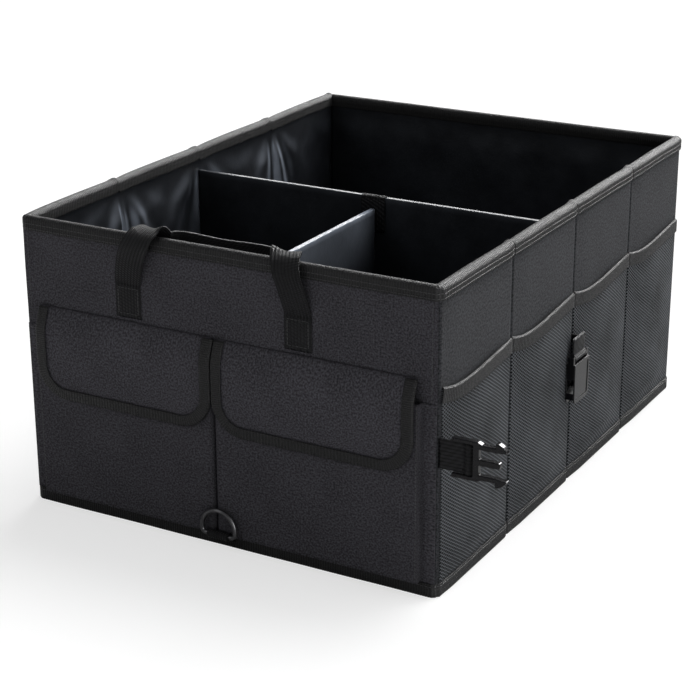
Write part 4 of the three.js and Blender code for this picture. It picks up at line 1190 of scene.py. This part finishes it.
def bar(bm, start, end, radius):
    run = end - start
    turn = run.to_track_quat("Z", "Y").to_matrix().to_4x4()
    made = bmesh.ops.create_cone(
        bm, cap_ends=True, segments=28, radius1=radius, radius2=radius, depth=run.length,
        matrix=Matrix.Translation((start + end) / 2) @ turn)
    for face in dict.fromkeys(face for corner in made["verts"] for face in corner.link_faces):
        face.smooth = len(face.verts) == 4


def moulding(name, bm, node, body):
    bmesh.ops.recalc_face_normals(bm, faces=bm.faces)
    new_piece(name, bm, moulded_finish, [node], body)


plug_low, plug_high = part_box("buckle_plug")
plug_centre = (plug_low + plug_high) / 2
plug_centre.x = plug_low.x + BACK_END
plug_cross = SLOT_END + 0.005
plug_tip = plug_cross + 0.024
plug_tongue = plug_cross + 0.018
ARM_INSIDE = BUCKLE_HALF - 0.006
HOOK = 0.010


def on_plug(u, v, w):
    return plug_centre + Vector((u, w, v))


plug_half = [
    (SLOT_END, RAIL_HALF), (-BACK_END, RAIL_HALF), (-BACK_END, BUCKLE_HALF),
    (plug_cross - 0.001, BUCKLE_HALF),
    (plug_cross + 0.0012, BUCKLE_HALF - 0.0012), (plug_cross + 0.003, BUCKLE_HALF - 0.002),
    (plug_tip - HOOK, BUCKLE_HALF - 0.002), (plug_tip - HOOK, BUCKLE_HALF + 0.002),
    (plug_tip - HOOK * 0.75, BUCKLE_HALF + 0.0017), (plug_tip - HOOK * 0.4, BUCKLE_HALF),
    (plug_tip - HOOK * 0.1, BUCKLE_HALF - 0.003), (plug_tip, ARM_INSIDE + 0.001),
    (plug_tip - HOOK, ARM_INSIDE), (plug_cross, ARM_INSIDE),
    (plug_cross, 0.0025), (plug_tongue - 0.001, 0.0025), (plug_tongue, 0.0015),
]
plug = bmesh.new()
prism(plug, plug_half + [(u, -v) for u, v in reversed(plug_half)],
      -BUCKLE_THICK / 2, BUCKLE_THICK / 2, on_plug)
bar(plug, on_plug(0, -RAIL_HALF - 0.001, 0), on_plug(0, RAIL_HALF + 0.001, 0), BAR_RADIUS)
moulding("buckle_plug_moulding", plug, "buckle_plug", "plug")

socket_low, socket_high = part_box("buckle_socket")
socket_centre = (socket_low + socket_high) / 2
socket_centre.z = socket_high.z - BUCKLE_THICK / 2
SOCKET_HALF_THICK = (socket_high.x - socket_low.x) / 2
SOCKET_PLATE = 0.00145
PLATE_BORDER = 0.0028
PLATE_SUNK = 0.0006
SOCKET_FOOT = socket_low.z - socket_centre.z
WINDOW_LOW = SOCKET_FOOT + 0.010
WINDOW_HIGH = SOCKET_FOOT + 0.023
CAVITY_TOP = SOCKET_FOOT + 0.028


def on_socket(u, v, w):
    return socket_centre + Vector((w, u, v))


def rounded_plate():
    """A broad side of the socket, with its two lower corners rounded."""
    radius = 0.005
    line = [(-BUCKLE_HALF, -SLOT_END)]
    for start, centre in ((180, -BUCKLE_HALF + radius), (270, BUCKLE_HALF - radius)):
        for i in range(5):
            turn = math.radians(start + 22.5 * i)
            line.append((centre + radius * math.cos(turn),
                         SOCKET_FOOT + radius + radius * math.sin(turn)))
    return line + [(BUCKLE_HALF, -SLOT_END)]


def slab(bm, us, vs, ws):
    """A block of the socket between those pairs of u, v and w."""
    corners = [(us[0], vs[0]), (us[1], vs[0]), (us[1], vs[1]), (us[0], vs[1])]
    prism(bm, corners, ws[0], ws[1], on_socket, 0.0004)


socket = bmesh.new()
inside = SOCKET_HALF_THICK - SOCKET_PLATE
through = (-inside - 0.0005, inside + 0.0005)
for side in (-1, 1):
    prism(socket, rounded_plate(), side * inside, side * SOCKET_HALF_THICK, on_socket)
    us = sorted((side * (BUCKLE_HALF - 0.001), side * BUCKLE_HALF))
    slab(socket, us, (SOCKET_FOOT + 0.004, WINDOW_LOW), through)
    slab(socket, us, (WINDOW_HIGH, CAVITY_TOP), through)
    us = sorted((side * RAIL_HALF, side * (BUCKLE_HALF - 0.0002)))
    slab(socket, us, (-SLOT_END - 0.001, BUCKLE_THICK / 2), (-BUCKLE_THICK / 2, BUCKLE_THICK / 2))
slab(socket, (-BUCKLE_HALF + 0.0001, BUCKLE_HALF - 0.0001),
     (CAVITY_TOP - 0.0002, -SLOT_END - 0.0001), through)
bar(socket, on_socket(-RAIL_HALF - 0.001, 0, 0), on_socket(RAIL_HALF + 0.001, 0, 0), BAR_RADIUS)
bmesh.ops.recalc_face_normals(socket, faces=socket.faces)
for side in (-1, 1):
    plane = socket_centre.x + side * SOCKET_HALF_THICK
    outer = [face for face in socket.faces if face.normal.x * side > 0.99
             and abs(face.calc_center_median().x - plane) < 1e-5]
    broad = max(outer, key=lambda face: face.calc_area())
    bmesh.ops.inset_region(socket, faces=[broad], thickness=PLATE_BORDER, depth=0)
    bmesh.ops.inset_region(socket, faces=[broad], thickness=PLATE_SUNK, depth=-PLATE_SUNK)
moulding("buckle_socket_moulding", socket, "buckle_socket", "socket")


LOOP_MIDDLE = BUCKLE_LOOP - STRAP_THICKNESS / 2
LOOP_START = 0.0045
ROOT_HALF = 0.001
ROOT_TALL = 0.008


def strap_loop(start, centre, facing):
    """Round a bar and back, as (along, aside): facing is the side of the bar that it goes round."""
    half, arriving = STRAP_THICKNESS / 2, centre - facing * LOOP_START
    line = [(start, -half), (arriving, -half)]
    for turn in range(-145, 146, 29):
        angle = math.radians(turn)
        line.append((centre + facing * LOOP_MIDDLE * math.cos(angle),
                     LOOP_MIDDLE * math.sin(angle)))
    return line + [(arriving, half), (start, half)]


side_face = half_width + 0.0003
strap("plug_strap_webbing", "plug_strap",
      [(Vector((u, plug_centre.y + v, plug_centre.z)), UP, *FLAT_STRAP[1:])
       for u, v in strap_loop(side_face, plug_centre.x, 1)], 96)
root_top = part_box("socket_strap")[1].z
strap("socket_strap_webbing", "socket_strap",
      [(Vector((socket_centre.x + v, socket_centre.y, u)), AHEAD, *FLAT_STRAP[1:])
       for u, v in strap_loop(root_top, socket_centre.z, -1)], 96)

root = bmesh.new()
prism(root, [(-ROOT_HALF, root_top - ROOT_TALL), (ROOT_HALF, root_top - ROOT_TALL),
             (ROOT_HALF, root_top), (-ROOT_HALF, root_top)],
      side_face, socket_centre.x, lambda u, v, w: Vector((w, socket_centre.y + u, v)), 0.0002)
bmesh.ops.recalc_face_normals(root, faces=root.faces)
new_piece("socket_strap_root", root, strap_finish)


# Studio: a white floor, and soft light from behind, from the right and a little from the front.
# Three more lights only make highlights. The camera stands where the photograph was taken from.
CAMERA_PLACE = Vector((0.78231, -1.44841, 0.70667))
CAMERA_AZIMUTH = math.radians(29.1634)
CAMERA_ELEVATION = math.radians(20.564)
CAMERA_ROLL = math.radians(-0.1244)
CAMERA_LENS = 96.58
FLOOR_SIZE = 8.0
FLOOR_GLOW = 0.45
FLOOR_WHITE = 1.4
WORLD_LEVEL = 0.20
LIGHTS = {
    "key": (2.6, Vector((0.12, 0.55, 0.80)), math.radians(42)),
    "side": (1.1, Vector((0.85, 0.3, 0.55)), math.radians(45)),
    "front": (0.35, Vector((-0.45, -0.65, 0.6)), math.radians(30)),
    "gloss_tops": (0.9, Vector((-0.42, 0.8, 0.37)), math.radians(20)),
    "gloss_edges": (5.5, Vector((0.15, 0.8, 0.5)), math.radians(24)),
    "gloss_corners": (1.5, Vector((0.85, -0.45, 0.15)), math.radians(20)),
}

camera_data = bpy.data.cameras.new("camera")
camera_data.lens = CAMERA_LENS
camera_data.clip_end = 50
camera = bpy.data.objects.new("camera", camera_data)
bpy.context.scene.collection.objects.link(camera)
bpy.context.scene.camera = camera
back = Vector((
    math.sin(CAMERA_AZIMUTH) * math.cos(CAMERA_ELEVATION),
    -math.cos(CAMERA_AZIMUTH) * math.cos(CAMERA_ELEVATION),
    math.sin(CAMERA_ELEVATION)))
level = Vector((math.cos(CAMERA_AZIMUTH), math.sin(CAMERA_AZIMUTH), 0))
over = back.cross(level)
rolled = level * math.cos(CAMERA_ROLL) + over * math.sin(CAMERA_ROLL)
over = over * math.cos(CAMERA_ROLL) - level * math.sin(CAMERA_ROLL)
facing = Matrix((rolled, over, back)).transposed().to_4x4()
camera.matrix_world = Matrix.Translation(CAMERA_PLACE) @ facing

ground = bmesh.new()
bmesh.ops.create_grid(ground, x_segments=1, y_segments=1, size=FLOOR_SIZE / 2)
ground_mesh = bpy.data.meshes.new("studio_floor")
ground.to_mesh(ground_mesh)
ground.free()
studio_floor = bpy.data.objects.new("studio_floor", ground_mesh)
bpy.context.scene.collection.objects.link(studio_floor)
floor_paint = Finish("studio_floor")
directly = floor_paint.node("ShaderNodeLightPath").out("Is Camera Ray")
matt = floor_paint.node("ShaderNodeBsdfDiffuse", {}, {"Color": (0.8, 0.8, 0.8, 1)})
glow = floor_paint.node("ShaderNodeEmission", {}, {
    "Color": (1, 1, 1, 1), "Strength": FLOOR_WHITE})
mixed = floor_paint.node("ShaderNodeMixShader", {}, {0: directly * FLOOR_GLOW, 1: matt, 2: glow})
floor_paint.node("ShaderNodeOutputMaterial", {}, {"Surface": mixed})
ground_mesh.materials.append(floor_paint.material)

room = Finish("studio", bpy.data.worlds.new("studio"))
bpy.context.scene.world = room.material
in_view = room.node("ShaderNodeLightPath").out("Is Camera Ray")
lit = room.node("ShaderNodeBackground", {}, {"Color": (1, 1, 1, 1), "Strength": WORLD_LEVEL})
white = room.node("ShaderNodeBackground", {}, {"Color": (1, 1, 1, 1)})
chosen = room.node("ShaderNodeMixShader", {}, {0: in_view, 1: lit, 2: white})
room.node("ShaderNodeOutputWorld", {}, {"Surface": chosen})

for light_name, (strength, way, softness) in LIGHTS.items():
    light_data = bpy.data.lights.new(light_name, "SUN")
    light_data.energy = strength
    light_data.angle = softness
    light = bpy.data.objects.new(light_name, light_data)
    bpy.context.scene.collection.objects.link(light)
    light.matrix_world = way.to_track_quat("Z", "Y").to_matrix().to_4x4()
    light.visible_diffuse = not light_name.startswith("gloss")

bpy.context.scene.view_settings.view_transform = "Standard"
